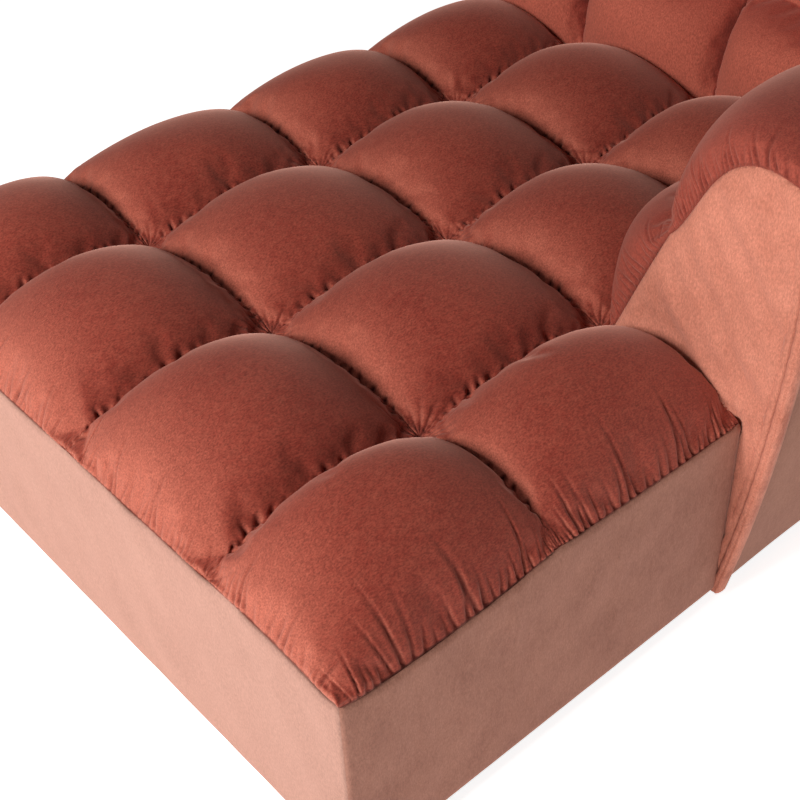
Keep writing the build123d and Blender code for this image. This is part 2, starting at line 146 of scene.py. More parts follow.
# Suspension of the seat: dark elastic webbing stapled across the rails both ways, and jute hessian over it.
# Both are plain woven and matt: the yarns show as a small chequer of lit tops and dark gaps.
def plain_weave(name, yarn, light, dark):
    material, tree, surface = new_material(name)
    place = add_node(tree, "ShaderNodeTexCoord", {}, {})
    weft, warp = (
        add_node(
            tree,
            "ShaderNodeTexWave",
            {"bands_direction": way, "Scale": WAVE_REPEAT / yarn, "Distortion": 0.6},
            {"Vector": (place, "Object")},
        )
        for way in "XY"
    )
    yarns = {0: (weft, "Fac"), 1: (warp, "Fac")}
    weave = add_node(tree, "ShaderNodeMath", {"operation": "MULTIPLY"}, yarns)
    two_tones(tree, surface, dark, light, (weave, "Value"), (weave, "Value"), 0.6, 0.0006)
    surface.inputs["Roughness"].default_value = 0.9
    return material


webbing = plain_weave("elastic_webbing", 0.003, "#52463C", "#2E2620")
finish_nodes(("lengthwise_webbing", "crosswise_webbing"), webbing)
finish_nodes(("hessian",), plain_weave("jute_hessian", 0.0025, "#C2A877", "#8A7148"))


# Seat foam: one cut block of open-cell polyurethane that carries the tufted cover.
# The arm and the back are padded with sheets of the same foam. It is pale yellow, dry and pitted by cells,
# and the pits are painted darker: painted shade.
def cut_foam():
    cell = 0.0015
    material, tree, surface = new_material("cut_polyurethane_foam")
    place = add_node(tree, "ShaderNodeTexCoord", {}, {})
    cells = add_node(tree, "ShaderNodeTexVoronoi", {"Scale": 1 / cell}, {"Vector": (place, "Object")})
    # The cell pattern sinks the pits and also darkens them as painted shade
    depth = (cells, "Distance")
    two_tones(tree, surface, "#D9CC9A", "#EFE6C4", depth, depth, 0.5, 0.0005)
    surface.inputs["Roughness"].default_value = 0.95
    return material


foam = cut_foam()
finish_nodes(("seat_foam", "arm_foam", "back_foam"), foam)


# Tuft ties: twisted nylon cord that pulls each crossing of the seams down, knotted to a disc on the deck.
# The discs are moulded from white polypropylene.
# Cord, plastic, board and dull metal are all plain to the eye, with a faint mottle of their own size.
def speckled(name, size, light, dark, roughness, metallic=0.0):
    material, tree, surface = new_material(name)
    place = add_node(tree, "ShaderNodeTexCoord", {}, {})
    specks = add_node(
        tree,
        "ShaderNodeTexNoise",
        {"Scale": NOISE_BLOT / size, "Detail": 3.0},
        {"Vector": (place, "Object")},
    )
    two_tones(tree, surface, dark, light, (specks, "Fac"), (specks, "Fac"), 0.25, 0.0002)
    surface.inputs["Roughness"].default_value = roughness
    surface.inputs["Metallic"].default_value = metallic
    return material


finish_nodes(("tuft_ties",), speckled("twisted_nylon_cord", 0.0008, "#E3DAC6", "#C4BAA2", 0.5))
finish_nodes(("tuft_anchors",), speckled("moulded_polypropylene", 0.0006, "#E6E6E1", "#D6D6D0", 0.4))


# Tufted seat cover: squares of cotton velvet over wadding, sewn to each other and gathered at every seam.
# The crossings of the seams are tied down to the deck, and the outer edge is sewn to the border panels.
SEAT_COLUMN = 0.305
FOOT_ROW = 0.330
SEAT_ROW = 0.305
# Heights of the seam to the borders, of the tufts, of the seams between two tufts, and of the crowns
SEAM_HEIGHT = 0.330
SEAM_CORNER = 0.314
SEAM_SAG = 0.311
SEAM_TIED = 0.327
TUFT_HEIGHT = 0.347
VALLEY_HEIGHT = 0.373
CROWN_HEIGHT = 0.438
# Share of a square's height that is lost at its tied corners
CORNER_DROP = 0.65
# How far the seam and the skin lie behind the faces of the borders, and how the outer corners are drawn in
SEAM_TUCK = 0.004
SKIN_TUCK = 0.0025
SOFT_CORNER = 0.0045
SOFT_REACH = 0.040
SEAT_CELLS = 40
# Length of the skin across a square for each metre in plan
SKIN_ARC = 1.3
# How far the stuffing may push the skin out
STUFFING = 0.008

seat_low, seat_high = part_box("seat_cover")
column_lines = np.array([seat_low.x + SEAT_COLUMN * i for i in range(4)] + [seat_high.x])
row_lines = np.array([seat_low.y, seat_low.y + FOOT_ROW, seat_low.y + 2 * FOOT_ROW])
row_lines = np.append(row_lines, [row_lines[2] + SEAT_ROW, row_lines[2] + 2 * SEAT_ROW])


# Rise of a square between two seams: steep at the seams and nearly flat on its crown
def rise(part, flatness, exponent):
    return np.clip(1 - np.abs(2 * part - 1) ** flatness, 0, 1) ** exponent


# Rise of a seam line between two tufts, softer than that of a square
def arch(part):
    return np.clip(1 - (2 * part - 1) ** 2, 0, 1)


# Value along a line that goes from start over its middle to end
def over(start, middle, end, part):
    return start + (end - start) * part + (middle - (start + end) / 2) * arch(part)


# Turns a finished builder into an object of the scene
def made(name, builder):
    mesh = bpy.data.meshes.new(name)
    builder.to_mesh(mesh)
    builder.free()
    piece = bpy.data.objects.new(name, mesh)
    bpy.context.scene.collection.objects.link(piece)
    return piece


# Grid of cells sewn from squares. Its UV map counts squares along the first and the second way.
def sewn_grid(name, first_squares, second_squares, cells, turned):
    builder = bmesh.new()
    first_cells, second_cells = first_squares * cells, second_squares * cells
    bmesh.ops.create_grid(builder, x_segments=first_cells, y_segments=second_cells, size=1.0)
    if turned:
        bmesh.ops.reverse_faces(builder, faces=builder.faces[:])
    layer = builder.loops.layers.uv.new("squares")
    for face in builder.faces:
        for loop in face.loops:
            spot = loop.vert.co
            loop[layer].uv = ((spot.x + 1) / 2 * first_squares, (spot.y + 1) / 2 * second_squares)
    return made(name, builder)


# Every vertex's place in the squares: whole square numbers and the share of the way across, both ways
def squares_of(piece):
    mesh = piece.data
    corners = np.empty(len(mesh.loops) * 2)
    mesh.uv_layers["squares"].uv.foreach_get("vector", corners)
    owners = np.empty(len(mesh.loops), int)
    mesh.loops.foreach_get("vertex_index", owners)
    spots = np.zeros((len(mesh.vertices), 2))
    spots[owners] = corners.reshape(-1, 2)
    return np.round(spots, 5)


def points_of(mesh):
    points = np.empty(len(mesh.vertices) * 3)
    mesh.vertices.foreach_get("co", points)
    return points.reshape(-1, 3)


def put_points(mesh, points):
    mesh.vertices.foreach_set("co", points.astype(np.float32).ravel())
    mesh.update()


# Share of the way in plan for a share of the way along the skin, which crowds the cells at the seams
def plan_share(share):
    return 0.35 * share + 0.65 * (1 - np.cos(np.pi * share)) / 2


# Velvet for the cloth simulation: it stretches little, bends easily and is blown up from below
VELVET_CLOTH = {
    "quality": 4,
    "mass": 0.3,
    "tension_stiffness": 20,
    "compression_stiffness": 6,
    "shear_stiffness": 4,
    "bending_stiffness": 0.4,
    "shrink_min": -0.03,
    "use_pressure": True,
    "uniform_pressure_force": 4,
}
STUFFING_STEPS = 20


# Swells a sewn sheet with cloth simulation: the sewn vertices stay, the rest moves out by the cap at most
def stuff(piece, sewn, cap):
    before = points_of(piece.data)
    group = piece.vertex_groups.new(name="sewn")
    group.add([int(i) for i in np.flatnonzero(sewn)], 1.0, "REPLACE")
    cloth = piece.modifiers.new("velvet", "CLOTH")
    for setting, value in VELVET_CLOTH.items():
        setattr(cloth.settings, setting, value)
    cloth.settings.vertex_group_mass = "sewn"
    cloth.settings.effector_weights.gravity = 0
    cloth.collision_settings.use_collision = False
    for step in range(1, STUFFING_STEPS + 1):
        bpy.context.scene.frame_set(step)
    evaluated = piece.evaluated_get(bpy.context.evaluated_depsgraph_get())
    moved = points_of(evaluated.data) - before
    piece.modifiers.remove(cloth)
    piece.vertex_groups.remove(group)
    bpy.context.scene.frame_set(1)
    reach = np.linalg.norm(moved, axis=1, keepdims=True)
    return before + moved * np.minimum(1, cap / np.maximum(reach, 1e-9))


# Smooth subdivision, made part of the mesh
def subdivide(piece, levels):
    finer = piece.modifiers.new("finer", "SUBSURF")
    finer.levels = levels
    finer.render_levels = levels
    finer.uv_smooth = "NONE"
    evaluated = piece.evaluated_get(bpy.context.evaluated_depsgraph_get())
    mesh = bpy.data.meshes.new_from_object(evaluated)
    piece.modifiers.clear()
    coarse = piece.data
    piece.data = mesh
    mesh.name = coarse.name
    bpy.data.meshes.remove(coarse)


def normals_of(mesh):
    normals = np.empty(len(mesh.vertices) * 3)
    mesh.vertex_normals.foreach_get("vector", normals)
    return normals.reshape(-1, 3)


# Depth of gathers along a seam: folds square to the seam, in loose clusters, uneven in reach and depth.
# The stitches hold the seam straight over the held distance, and the folds fade in from the seam's ends.
def gathers(chance, along, away, length, spacing, reach, depth, fade_in=0.03, held=0.005):
    folds = np.zeros_like(along)
    spot = spacing * chance.uniform(0.2, 0.8)
    wave = chance.uniform(0, 2 * np.pi)
    while spot < length:
        cluster = 0.76 + 0.24 * np.sin(2 * np.pi * spot / (6.5 * spacing) + wave)
        fold_reach = reach * chance.uniform(0.5, 1.0) * cluster
        fold_depth = depth * chance.uniform(0.6, 1.0) * cluster
        width = spacing * chance.uniform(0.15, 0.24)
        lean = chance.uniform(-0.2, 0.2)
        across = np.abs(along - spot - lean * away) / width
        near = (away < fold_reach) & (across < 5)
        fade = (1 - away[near] / fold_reach) ** 1.1 * np.clip(away[near] / held, 0.1, 1)
        crease = np.exp(-across[near]) - 0.35 * np.exp(-((across[near] - 2.0) ** 2))
        folds[near] += fold_depth * fade * crease
        spot += spacing * chance.uniform(0.8, 1.25)
    return folds * np.clip(np.minimum(along, length - along) / fade_in, 0, 1) ** 1.3


# Depth of the creases that run out from a tuft between two seams
def creases(chance, first, second, count, reach, depth):
    folds = np.zeros_like(first)
    distance = np.hypot(first, second)
    angle = np.arctan2(second, first)
    for i in range(count):
        bearing = np.pi / 2 * (i + chance.uniform(0.2, 0.8)) / count
        fold_reach = reach * chance.uniform(0.45, 1.0)
        fold_depth = depth * chance.uniform(0.4, 1.0)
        width = np.maximum(0.003, 0.06 * distance)
        near = distance < fold_reach
        fade = (1 - distance[near] / fold_reach) * np.clip(distance[near] / 0.012, 0, 1)
        aside = distance[near] * (angle[near] - bearing)
        folds[near] += fold_depth * fade * np.exp(-((aside / width[near]) ** 2))
    return folds


EAR_BEARING = math.radians(36)
EAR_HEIGHT = 0.005
EAR_REACH = 0.080
EAR_START = 0.030
EAR_WIDTH = 0.007


# Height of the soft ridge that the spare cloth forms at an outer corner of the cover
def ear(first, second):
    distance = np.hypot(first, second)
    aside = distance * (np.arctan2(second, first) - EAR_BEARING)
    faded = np.clip(1 - distance / EAR_REACH, 0, 1) * np.clip(distance / EAR_START, 0, 1)
    return EAR_HEIGHT * np.exp(-((aside / EAR_WIDTH) ** 2)) * faded


# Keeps how deep in a fold or seam each vertex lies in an attribute, which the finish turns into painted
# shade
def mark_fold_shade(mesh, shares):
    mark = mesh.attributes.new("fold_shade", "FLOAT", "POINT")
    mark.data.foreach_set("value", np.clip(shares, -1, 1).astype(np.float32))


# Depth at which the painted shade of a fold is at its darkest
FULL_SHADE_DEPTH = 0.004


# Presses the folds into a skin, and marks them and, by the strength of their line, its sewn edges for
# painted shade
def fold_in_and_shade(piece, depth, sewn, line):
    mesh = piece.data
    put_points(mesh, points_of(mesh) - normals_of(mesh) * depth[:, None])
    mark_fold_shade(mesh, np.where(sewn, line, depth / FULL_SHADE_DEPTH))


seat_cover = sewn_grid("tufted_seat_cover", 4, 4, SEAT_CELLS, False)
builder = bmesh.new()
builder.from_mesh(seat_cover.data)
# The arm takes the place of the outer column from the third row on
under_arm = [v for v in builder.verts if v.co.x > 0.5001 and v.co.y > 0.0001]
bmesh.ops.delete(builder, geom=under_arm, context="VERTS")
builder.to_mesh(seat_cover.data)
builder.free()

seat_spots = squares_of(seat_cover)
seat_chance = np.random.RandomState(11)
crown_lift = seat_chance.uniform(-0.004, 0.004, (4, 4))
# The square in the corner of arm and back is pushed up by both
crown_lift[2, 3] += 0.010
# The squares along the borders lie a little lower
crown_lift[0, :] -= 0.004
crown_lift[:, 0] -= 0.003
crown_lift[3, :] -= 0.010

# Heights of the seam crossings, and of the middles of the seams between them, along both ways.
# The seam to the borders is held up where an inner seam meets it and droops at the corners and in between.
crossing = np.full((5, 5), TUFT_HEIGHT)
crossing[0, :] = SEAM_TIED
crossing[:, 0] = SEAM_HEIGHT
crossing[0, 0] = SEAM_CORNER
crossing[4, :3] = (SEAM_CORNER, SEAM_TIED, (SEAM_CORNER + SEAM_TIED) / 2)
crossing[0, 4] = SEAM_HEIGHT
seam_middle = np.full((5, 4), VALLEY_HEIGHT)
seam_middle[0, :] = SEAM_SAG
seam_middle[4, :2] = (SEAM_SAG, (SEAM_SAG + SEAM_TIED) / 2)
row_middle = np.full((4, 5), VALLEY_HEIGHT)
row_middle[:, 0] = (SEAM_HEIGHT + SEAM_TIED) / 2
# How much each crossing pulls its squares down: the inner ones are tied, the ones on the borders only sewn
SEWN_PULL = 0.3
pull = np.ones((5, 5))
pull[[0, 4], :] = SEWN_PULL
pull[:, 0] = SEWN_PULL


# How far a padded panel is drawn in at an edge, from one at the seam to nought further in
def drawn_in(distance, reach):
    return np.clip(1 - distance / reach, 0, 1) ** 2


# Keeps places of the cover behind the faces of the borders, which are drawn in at the outer corners
def behind_borders(x, y, gap):
    to_side = np.minimum(x - column_lines[0], column_lines[4] - x)
    side_gap = gap + SOFT_CORNER * drawn_in(y - row_lines[0], SOFT_REACH)
    foot_gap = gap + SOFT_CORNER * drawn_in(to_side, SOFT_REACH)
    x = np.clip(x, column_lines[0] + side_gap, column_lines[4] - side_gap)
    return x, np.maximum(y, row_lines[0] + foot_gap)


# Values at the four crossings of each square, blended by the place in the square
def blended(values, column, row, s, t):
    front = (1 - s) * values[column, row] + s * values[column + 1, row]
    rear = (1 - s) * values[column, row + 1] + s * values[column + 1, row + 1]
    return (1 - t) * front + t * rear


# Points of the seat cover before it is stuffed
def seat_points(spots):
    column = np.minimum(spots[:, 0].astype(int), 3)
    row = np.minimum(spots[:, 1].astype(int), 3)
    s = plan_share(spots[:, 0] - column)
    t = plan_share(spots[:, 1] - row)
    left = over(crossing[column, row], seam_middle[column, row], crossing[column, row + 1], t)
    right = over(crossing[column + 1, row], seam_middle[column + 1, row], crossing[column + 1, row + 1], t)
    front = over(crossing[column, row], row_middle[column, row], crossing[column + 1, row], s)
    rear = over(crossing[column, row + 1], row_middle[column, row + 1], crossing[column + 1, row + 1], s)
    lie = (1 - s) * left + s * right + (1 - t) * front + t * rear - blended(crossing, column, row, s, t)
    middle = (seam_middle[column, row] + seam_middle[column + 1, row]) / 2
    middle += (row_middle[column, row] + row_middle[column, row + 1]) / 2
    middle -= (crossing[column, row] + crossing[column + 1, row]) / 4
    middle -= (crossing[column, row + 1] + crossing[column + 1, row + 1]) / 4
    crown = CROWN_HEIGHT + crown_lift[column, row] - middle
    x = column_lines[column] + (column_lines[column + 1] - column_lines[column]) * s
    y = row_lines[row] + (row_lines[row + 1] - row_lines[row]) * t
    x, y = behind_borders(x, y, SEAM_TUCK)
    corner = np.abs((2 * s - 1) * (2 * t - 1)) ** 1.25
    # Squares are fuller beside their seams where they meet a border
    at_foot = np.where(row == 0, 1 - t, 0) ** 3
    at_side = np.where(column == 3, s, np.where(column == 0, 1 - s, 0)) ** 3
    dome = rise(s, 2.6, 0.85 - 0.35 * at_foot) * rise(t, 2.6, 0.85 - 0.35 * at_side)
    dome *= 1 - CORNER_DROP * blended(pull, column, row, s, t) * corner
    return np.column_stack([x, y, lie + crown * dome])


# Keeps the stuffed skin of each square between its own seams, and behind the face of the borders
def within_squares(points, spots):
    column = np.minimum(spots[:, 0].astype(int), 3)
    row = np.minimum(spots[:, 1].astype(int), 3)
    x = np.clip(points[:, 0], column_lines[column], column_lines[column + 1])
    y = np.clip(points[:, 1], row_lines[row], row_lines[row + 1])
    return np.column_stack([*behind_borders(x, y, SKIN_TUCK), points[:, 2]])


put_points(seat_cover.data, seat_points(seat_spots))
on_seam = (seat_spots % 1 == 0).any(axis=1)
put_points(seat_cover.data, within_squares(stuff(seat_cover, on_seam, STUFFING), seat_spots))
subdivide(seat_cover, 2)

# Gathers along the side seams, the foot seam and the inner seams, and creases out of their crossings
SIDE_GATHERS = {"spacing": 0.0140, "reach": 0.120, "depth": 0.0085, "fade_in": 0.045}
FOOT_GATHERS = {"spacing": 0.012, "reach": 0.120, "depth": 0.0055, "fade_in": 0.060, "held": 0.020}
SEAT_GATHERS = {"spacing": 0.021, "reach": 0.045, "depth": 0.0090, "fade_in": 0.090}
TIED_CREASES = {"count": 5, "reach": 0.14, "depth": 0.0042}
SEWN_CREASES = {"count": 3, "reach": 0.11, "depth": 0.0022}
# The folds stop short of the outer foot corners, where the ears stand
PLAIN_CORNER = 0.035
PLAIN_FADE = 0.045
seat_spots = squares_of(seat_cover)
seat_depth = np.zeros(len(seat_spots))
for column in range(4):
    for row in range(4):
        if column == 3 and row > 1:
            continue
        inside = np.floor(np.minimum(seat_spots[:, 0], 3.999)) == column
        inside &= np.floor(np.minimum(seat_spots[:, 1], 3.999)) == row
        wide = (column_lines[column + 1] - column_lines[column]) * SKIN_ARC
        deep = (row_lines[row + 1] - row_lines[row]) * SKIN_ARC
        s = (seat_spots[inside, 0] - column) * wide
        t = (seat_spots[inside, 1] - row) * deep
        folds = np.zeros(len(s))
        sides = (
            (t, s, deep, column == 0),
            (t, wide - s, deep, column == 3),
            (s, t, wide, row == 0),
            (s, deep - t, wide, False),
        )
        for along, away, length, border in sides:
            border_gathers = SIDE_GATHERS if along is t else FOOT_GATHERS
            kind = border_gathers if border else SEAT_GATHERS
            folds += gathers(seat_chance, along, away, length, **kind)
        for right, rear in ((0, 0), (1, 0), (0, 1), (1, 1)):
            first = wide - s if right else s
            second = deep - t if rear else t
            if column + 3 * right in (0, 6) and row + rear == 0:
                folds *= np.clip((np.hypot(first, second) - PLAIN_CORNER) / PLAIN_FADE, 0, 1)
                folds -= ear(first, second)
            edges = (column + right in (0, 4)) + (row + rear == 0)
            if edges == 0:
                folds += creases(seat_chance, first, second, **TIED_CREASES)
            elif edges == 1:
                folds += creases(seat_chance, first, second, **SEWN_CREASES)
        seat_depth[inside] = folds
# The sewn edge is the outermost fine cell along the borders, and it gets a full line of painted shade
edge_share = 1.5 / (4 * SEAT_CELLS)
on_border = (seat_spots[:, 0] < edge_share) | (seat_spots[:, 0] > 4 - edge_share)
on_border |= seat_spots[:, 1] < edge_share
fold_in_and_shade(seat_cover, seat_depth, on_border, 1.0)


# Cut velvet: a short dense cotton pile. It is deep and matt where the eye looks into the pile and pale where
# the pile is seen from its side, by its sheen, and streaked where hands have brushed it.
# Slopes that face the foot end, where the key light stands, are painted paler: painted light.
# Folds and sewn seams are painted dark: painted shade.
# Colour of the painted shade in folds and seams
PAINTED_CREASE_SHADE = "#4A1B16"
PATCH = 0.05
BRUSH_MARK = 0.0040
# Single tufts of pile are too fine to show, so clumps of them are drawn, 1 mm wide.
# The grain is how much lighter and darker than the mean tone they are.
PILE_CLUMP = 0.0010
PILE_TONE = 0.94
# Side of the key light in plan, towards the foot end: slopes that face it are painted paler, painted light
KEY_LIGHT_SIDE = (0.0, -1.0, 0.0)


# The tones are those of the deep and the pale patches, of the brush marks and of the painted light on slopes
# that face the key light
def cut_velvet(name, tones, streak, grain):
    deep, pale, brushed, lit_tone = tones
    material, tree, surface = new_material(name)
    place = add_node(tree, "ShaderNodeTexCoord", {}, {})
    drawn = add_node(tree, "ShaderNodeMapping", {"Scale": streak}, {"Vector": (place, "Object")})
    patches = add_node(
        tree,
        "ShaderNodeTexNoise",
        {"Scale": NOISE_BLOT / PATCH, "Detail": 4.0, "Roughness": 0.6},
        {"Vector": (place, "Object")},
    )
    marks = add_node(
        tree,
        "ShaderNodeTexNoise",
        {"Scale": NOISE_BLOT / BRUSH_MARK, "Detail": 3.0, "Roughness": 0.7},
        {"Vector": (drawn, "Vector")},
    )
    pile = add_node(
        tree,
        "ShaderNodeTexNoise",
        {"Scale": NOISE_BLOT / PILE_CLUMP, "Detail": 2.0, "Roughness": 0.7},
        {"Vector": (drawn, "Vector")},
    )
    spread = add_node(
        tree,
        "ShaderNodeMapRange",
        {"From Min": 0.35, "From Max": 0.65},
        {"Value": (patches, "Fac")},
    )
    ground = add_node(
        tree,
        "ShaderNodeMix",
        {"data_type": "RGBA", MIX_A: linear(deep), MIX_B: linear(pale)},
        {0: (spread, "Result")},
    )
    rubbed = add_node(
        tree,
        "ShaderNodeMapRange",
        {"From Min": 0.35, "From Max": 0.75, "To Max": 0.4},
        {"Value": (marks, "Fac")},
    )
    streaked = add_node(
        tree,
        "ShaderNodeMix",
        {"data_type": "RGBA", MIX_B: linear(brushed)},
        {0: (rubbed, "Result"), MIX_A: (ground, MIX_OUT)},
    )
    # Painted light: slopes that face the key light's side are mixed towards the lit tone
    lie = add_node(tree, "ShaderNodeNewGeometry", {}, {})
    towards = add_node(
        tree,
        "ShaderNodeVectorMath",
        {"operation": "DOT_PRODUCT", 1: KEY_LIGHT_SIDE},
        {0: (lie, "Normal")},
    )
    lit_share = add_node(
        tree,
        "ShaderNodeMapRange",
        {"interpolation_type": "SMOOTHSTEP", "From Min": 0.2, "From Max": 1.0, "To Max": 0.6},
        {"Value": (towards, "Value")},
    )
    painted_lit = add_node(
        tree,
        "ShaderNodeMix",
        {"data_type": "RGBA", MIX_B: linear(lit_tone)},
        {0: (lit_share, "Result"), MIX_A: (streaked, MIX_OUT)},
    )
    gaps = add_node(
        tree,
        "ShaderNodeMapRange",
        {"From Min": 0.3, "From Max": 0.7, "To Min": PILE_TONE - grain, "To Max": PILE_TONE + grain},
        {"Value": (pile, "Fac")},
    )
    grained = add_node(
        tree,
        "ShaderNodeHueSaturation",
        {},
        {"Value": (gaps, "Result"), "Color": (painted_lit, MIX_OUT)},
    )
    # Painted shade: the depth marked on folds and seams darkens the colour towards the crease shade
    fold_shade = add_node(tree, "ShaderNodeAttribute", {"attribute_name": "fold_shade"}, {})
    crease = add_node(tree, "ShaderNodeMapRange", {"To Max": 0.75}, {"Value": (fold_shade, "Fac")})
    shaded = add_node(
        tree,
        "ShaderNodeMix",
        {"data_type": "RGBA", MIX_B: linear(PAINTED_CREASE_SHADE)},
        {0: (crease, "Result"), MIX_A: (grained, "Color")},
    )
    relief = add_node(
        tree,
        "ShaderNodeBump",
        {"Strength": 0.35, "Distance": 0.0006},
        {"Height": (pile, "Fac")},
    )
    nap = add_node(
        tree,
        "ShaderNodeBump",
        {"Strength": 0.08, "Distance": 0.001},
        {"Height": (marks, "Fac"), "Normal": (relief, "Normal")},
    )
    tree.links.new(shaded.outputs[MIX_OUT], surface.inputs["Base Color"])
    tree.links.new(nap.outputs["Normal"], surface.inputs["Normal"])
    surface.inputs["Roughness"].default_value = 0.9
    surface.inputs["Specular IOR Level"].default_value = 0.2
    surface.inputs["Sheen Weight"].default_value = 0.75
    surface.inputs["Sheen Roughness"].default_value = 0.45
    surface.inputs["Sheen Tint"].default_value = linear("#DDA796")
    return material


# The pattern is drawn out the way that the pile was brushed: along the seat, and down the upright panels
ALONG_SEAT = (1.0, 0.5, 1.0)
DOWNWARD = (1.0, 1.0, 0.45)
SEAT_TONES = ("#883327", "#923C2E", "#A75542", "#C4705A")
seat_velvet = cut_velvet("cut_velvet_seat", SEAT_TONES, ALONG_SEAT, 0.30)
ROLL_TONES = ("#843127", "#8E392D", "#A2503F", "#A04D3D")
roll_velvet = cut_velvet("cut_velvet_roll", ROLL_TONES, DOWNWARD, 0.26)


# Closes a skin into a cushion: its edge turns in behind the borders and goes down to a flat underside
def close_below(piece, height, inset):
    builder = bmesh.new()
    builder.from_mesh(piece.data)
    rim = [e for e in builder.edges if e.is_boundary]
    skirt = bmesh.ops.extrude_edge_only(builder, edges=rim)["geom"]
    low_edges = [g for g in skirt if isinstance(g, bmesh.types.BMEdge) and g.is_boundary]
    for vert in {v for e in low_edges for v in e.verts}:
        vert.co.x = min(max(vert.co.x, column_lines[0] + inset), column_lines[4] - inset)
        vert.co.y = max(vert.co.y, row_lines[0] + inset)
        vert.co.z = height
    bmesh.ops.contextual_create(builder, geom=low_edges)
    bmesh.ops.recalc_face_normals(builder, faces=builder.faces[:])
    builder.to_mesh(piece.data)
    builder.free()


def smooth(piece):
    piece.data.polygons.foreach_set("use_smooth", np.ones(len(piece.data.polygons), bool))
    piece.data.update()


SKIRT_INSET = 0.015
close_below(seat_cover, seat_low.z, SKIRT_INSET)
smooth(seat_cover)
seat_cover.data.materials.append(seat_velvet)
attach(seat_cover, "root")
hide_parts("seat_cover")

# Border panels: plain velvet over thin wadding, sewn to the seat cover along the top,
# to each other at the corners, and stapled under the rails.
BORDER_CELL = 0.007
BORDER_PAD = 0.008
BORDER_GATHERS = {"spacing": 0.016, "reach": 0.055, "depth": 0.0016}
# Height and length of the slow waves in the cloth, and of the short ones that run up it
SLOW_WAVES = (0.0012, 0.16)
SHORT_WAVES = (0.0008, 0.05)
# The cloth lies calm near the floor and near the ends of a panel
CALM_FOOT = 0.06
CALM_END = 0.03
# Depth and reach of the turn under the top seam and of the turn over the rail's lower edge
TOP_TURN = (0.0035, 0.009)
LOW_TURN = (0.006, 0.014)
# Gap of a border at an end that isn't an outer corner
BUTT_GAP = 0.0015
# How far the arm-side border runs on behind the facing
FACING_LAP = 0.003


# Slow waves over a surface, between about minus one and one
def undulation(chance, first, second, wave):
    height = np.zeros_like(first)
    for _ in range(7):
        bearing = chance.uniform(0, 2 * np.pi)
        length = wave * chance.uniform(0.6, 1.6)
        turn = 2 * np.pi * (first * np.cos(bearing) + second * np.sin(bearing)) / length
        height += np.sin(turn + chance.uniform(0, 2 * np.pi))
    return height / 3.5


# A flat sheet of cells, with the share of the way across of every vertex, both ways
def flat_grid(name, first_cells, second_cells):
    builder = bmesh.new()
    bmesh.ops.create_grid(builder, x_segments=first_cells, y_segments=second_cells, size=1.0)
    piece = made(name, builder)
    return piece, (points_of(piece.data)[:, :2] + 1) / 2


# Gives a skin its wadding behind it
def back_up(piece, thickness):
    wadding = piece.modifiers.new("wadding", "SOLIDIFY")
    wadding.thickness = thickness
    wadding.offset = -1.0


# Height of the seam between cover and border at places along one side, from its crossings and middles
def seam_height(lines, ends, middles, spot):
    step = np.clip(np.searchsorted(lines, spot) - 1, 0, len(lines) - 2)
    part = np.clip((spot - lines[step]) / (lines[step + 1] - lines[step]), 0, 1)
    return over(ends[step], middles[step], ends[step + 1], part)


# A border panel stands on its base line from start to end, with its face to the right of that line.
# Its seam is the lines, crossing heights and middle heights along the side, and the axis that they lie on.
# Soft is how far it is drawn in at its start and its end.
def border_panel(name, start, end, seam, soft, seed):
    chance = np.random.RandomState(seed)
    run = Vector(end) - Vector(start)
    length = run.length
    rows = round((SEAM_HEIGHT - start[2]) / BORDER_CELL)
    piece, shares = flat_grid(name, round(length / BORDER_CELL), rows)
    along = shares[:, 0] * length
    axis, lines, ends, middles = seam
    height = seam_height(lines, ends, middles, start[axis] + shares[:, 0] * run[axis]) - start[2]
    up = plan_share(shares[:, 1]) * height
    below = height - up
    lift = SLOW_WAVES[0] * undulation(chance, along, up, SLOW_WAVES[1])
    lift += SHORT_WAVES[0] * undulation(chance, along, up * 0.3, SHORT_WAVES[1])
    lift -= gathers(chance, along, below, length, **BORDER_GATHERS)
    lift *= np.clip(up / CALM_FOOT, 0, 1) * np.clip(np.minimum(along, length - along) / CALM_END, 0, 1)
    tucked = TOP_TURN[0] * drawn_in(below, TOP_TURN[1]) + LOW_TURN[0] * drawn_in(up, LOW_TURN[1])
    lift -= tucked + soft[0] * drawn_in(along, SOFT_REACH) + soft[1] * drawn_in(length - along, SOFT_REACH)
    # Two drawn-in ends meet on the mitre of their corner
    first_gap, last_gap = (end_soft + tucked if end_soft else BUTT_GAP for end_soft in soft)
    along = first_gap + along * (1 - (first_gap + last_gap) / length)
    ahead = np.array(run.normalized())
    outward = np.array([ahead[1], -ahead[0], 0.0])
    upright = np.array([0, 0, 1.0])
    points = np.array(start) + along[:, None] * ahead + up[:, None] * upright + lift[:, None] * outward
    put_points(piece.data, points)
    smooth(piece)
    back_up(piece, BORDER_PAD)
    return piece


# The foot border's tones are the same velvet made paler for the sheen where the key light falls: painted
# sheen
FOOT_SHEEN_TONES = ("#A07465", "#AD8171", "#BD9383", "#B08474")
foot_sheen_velvet = cut_velvet("cut_velvet_foot_border", FOOT_SHEEN_TONES, DOWNWARD, 0.14)
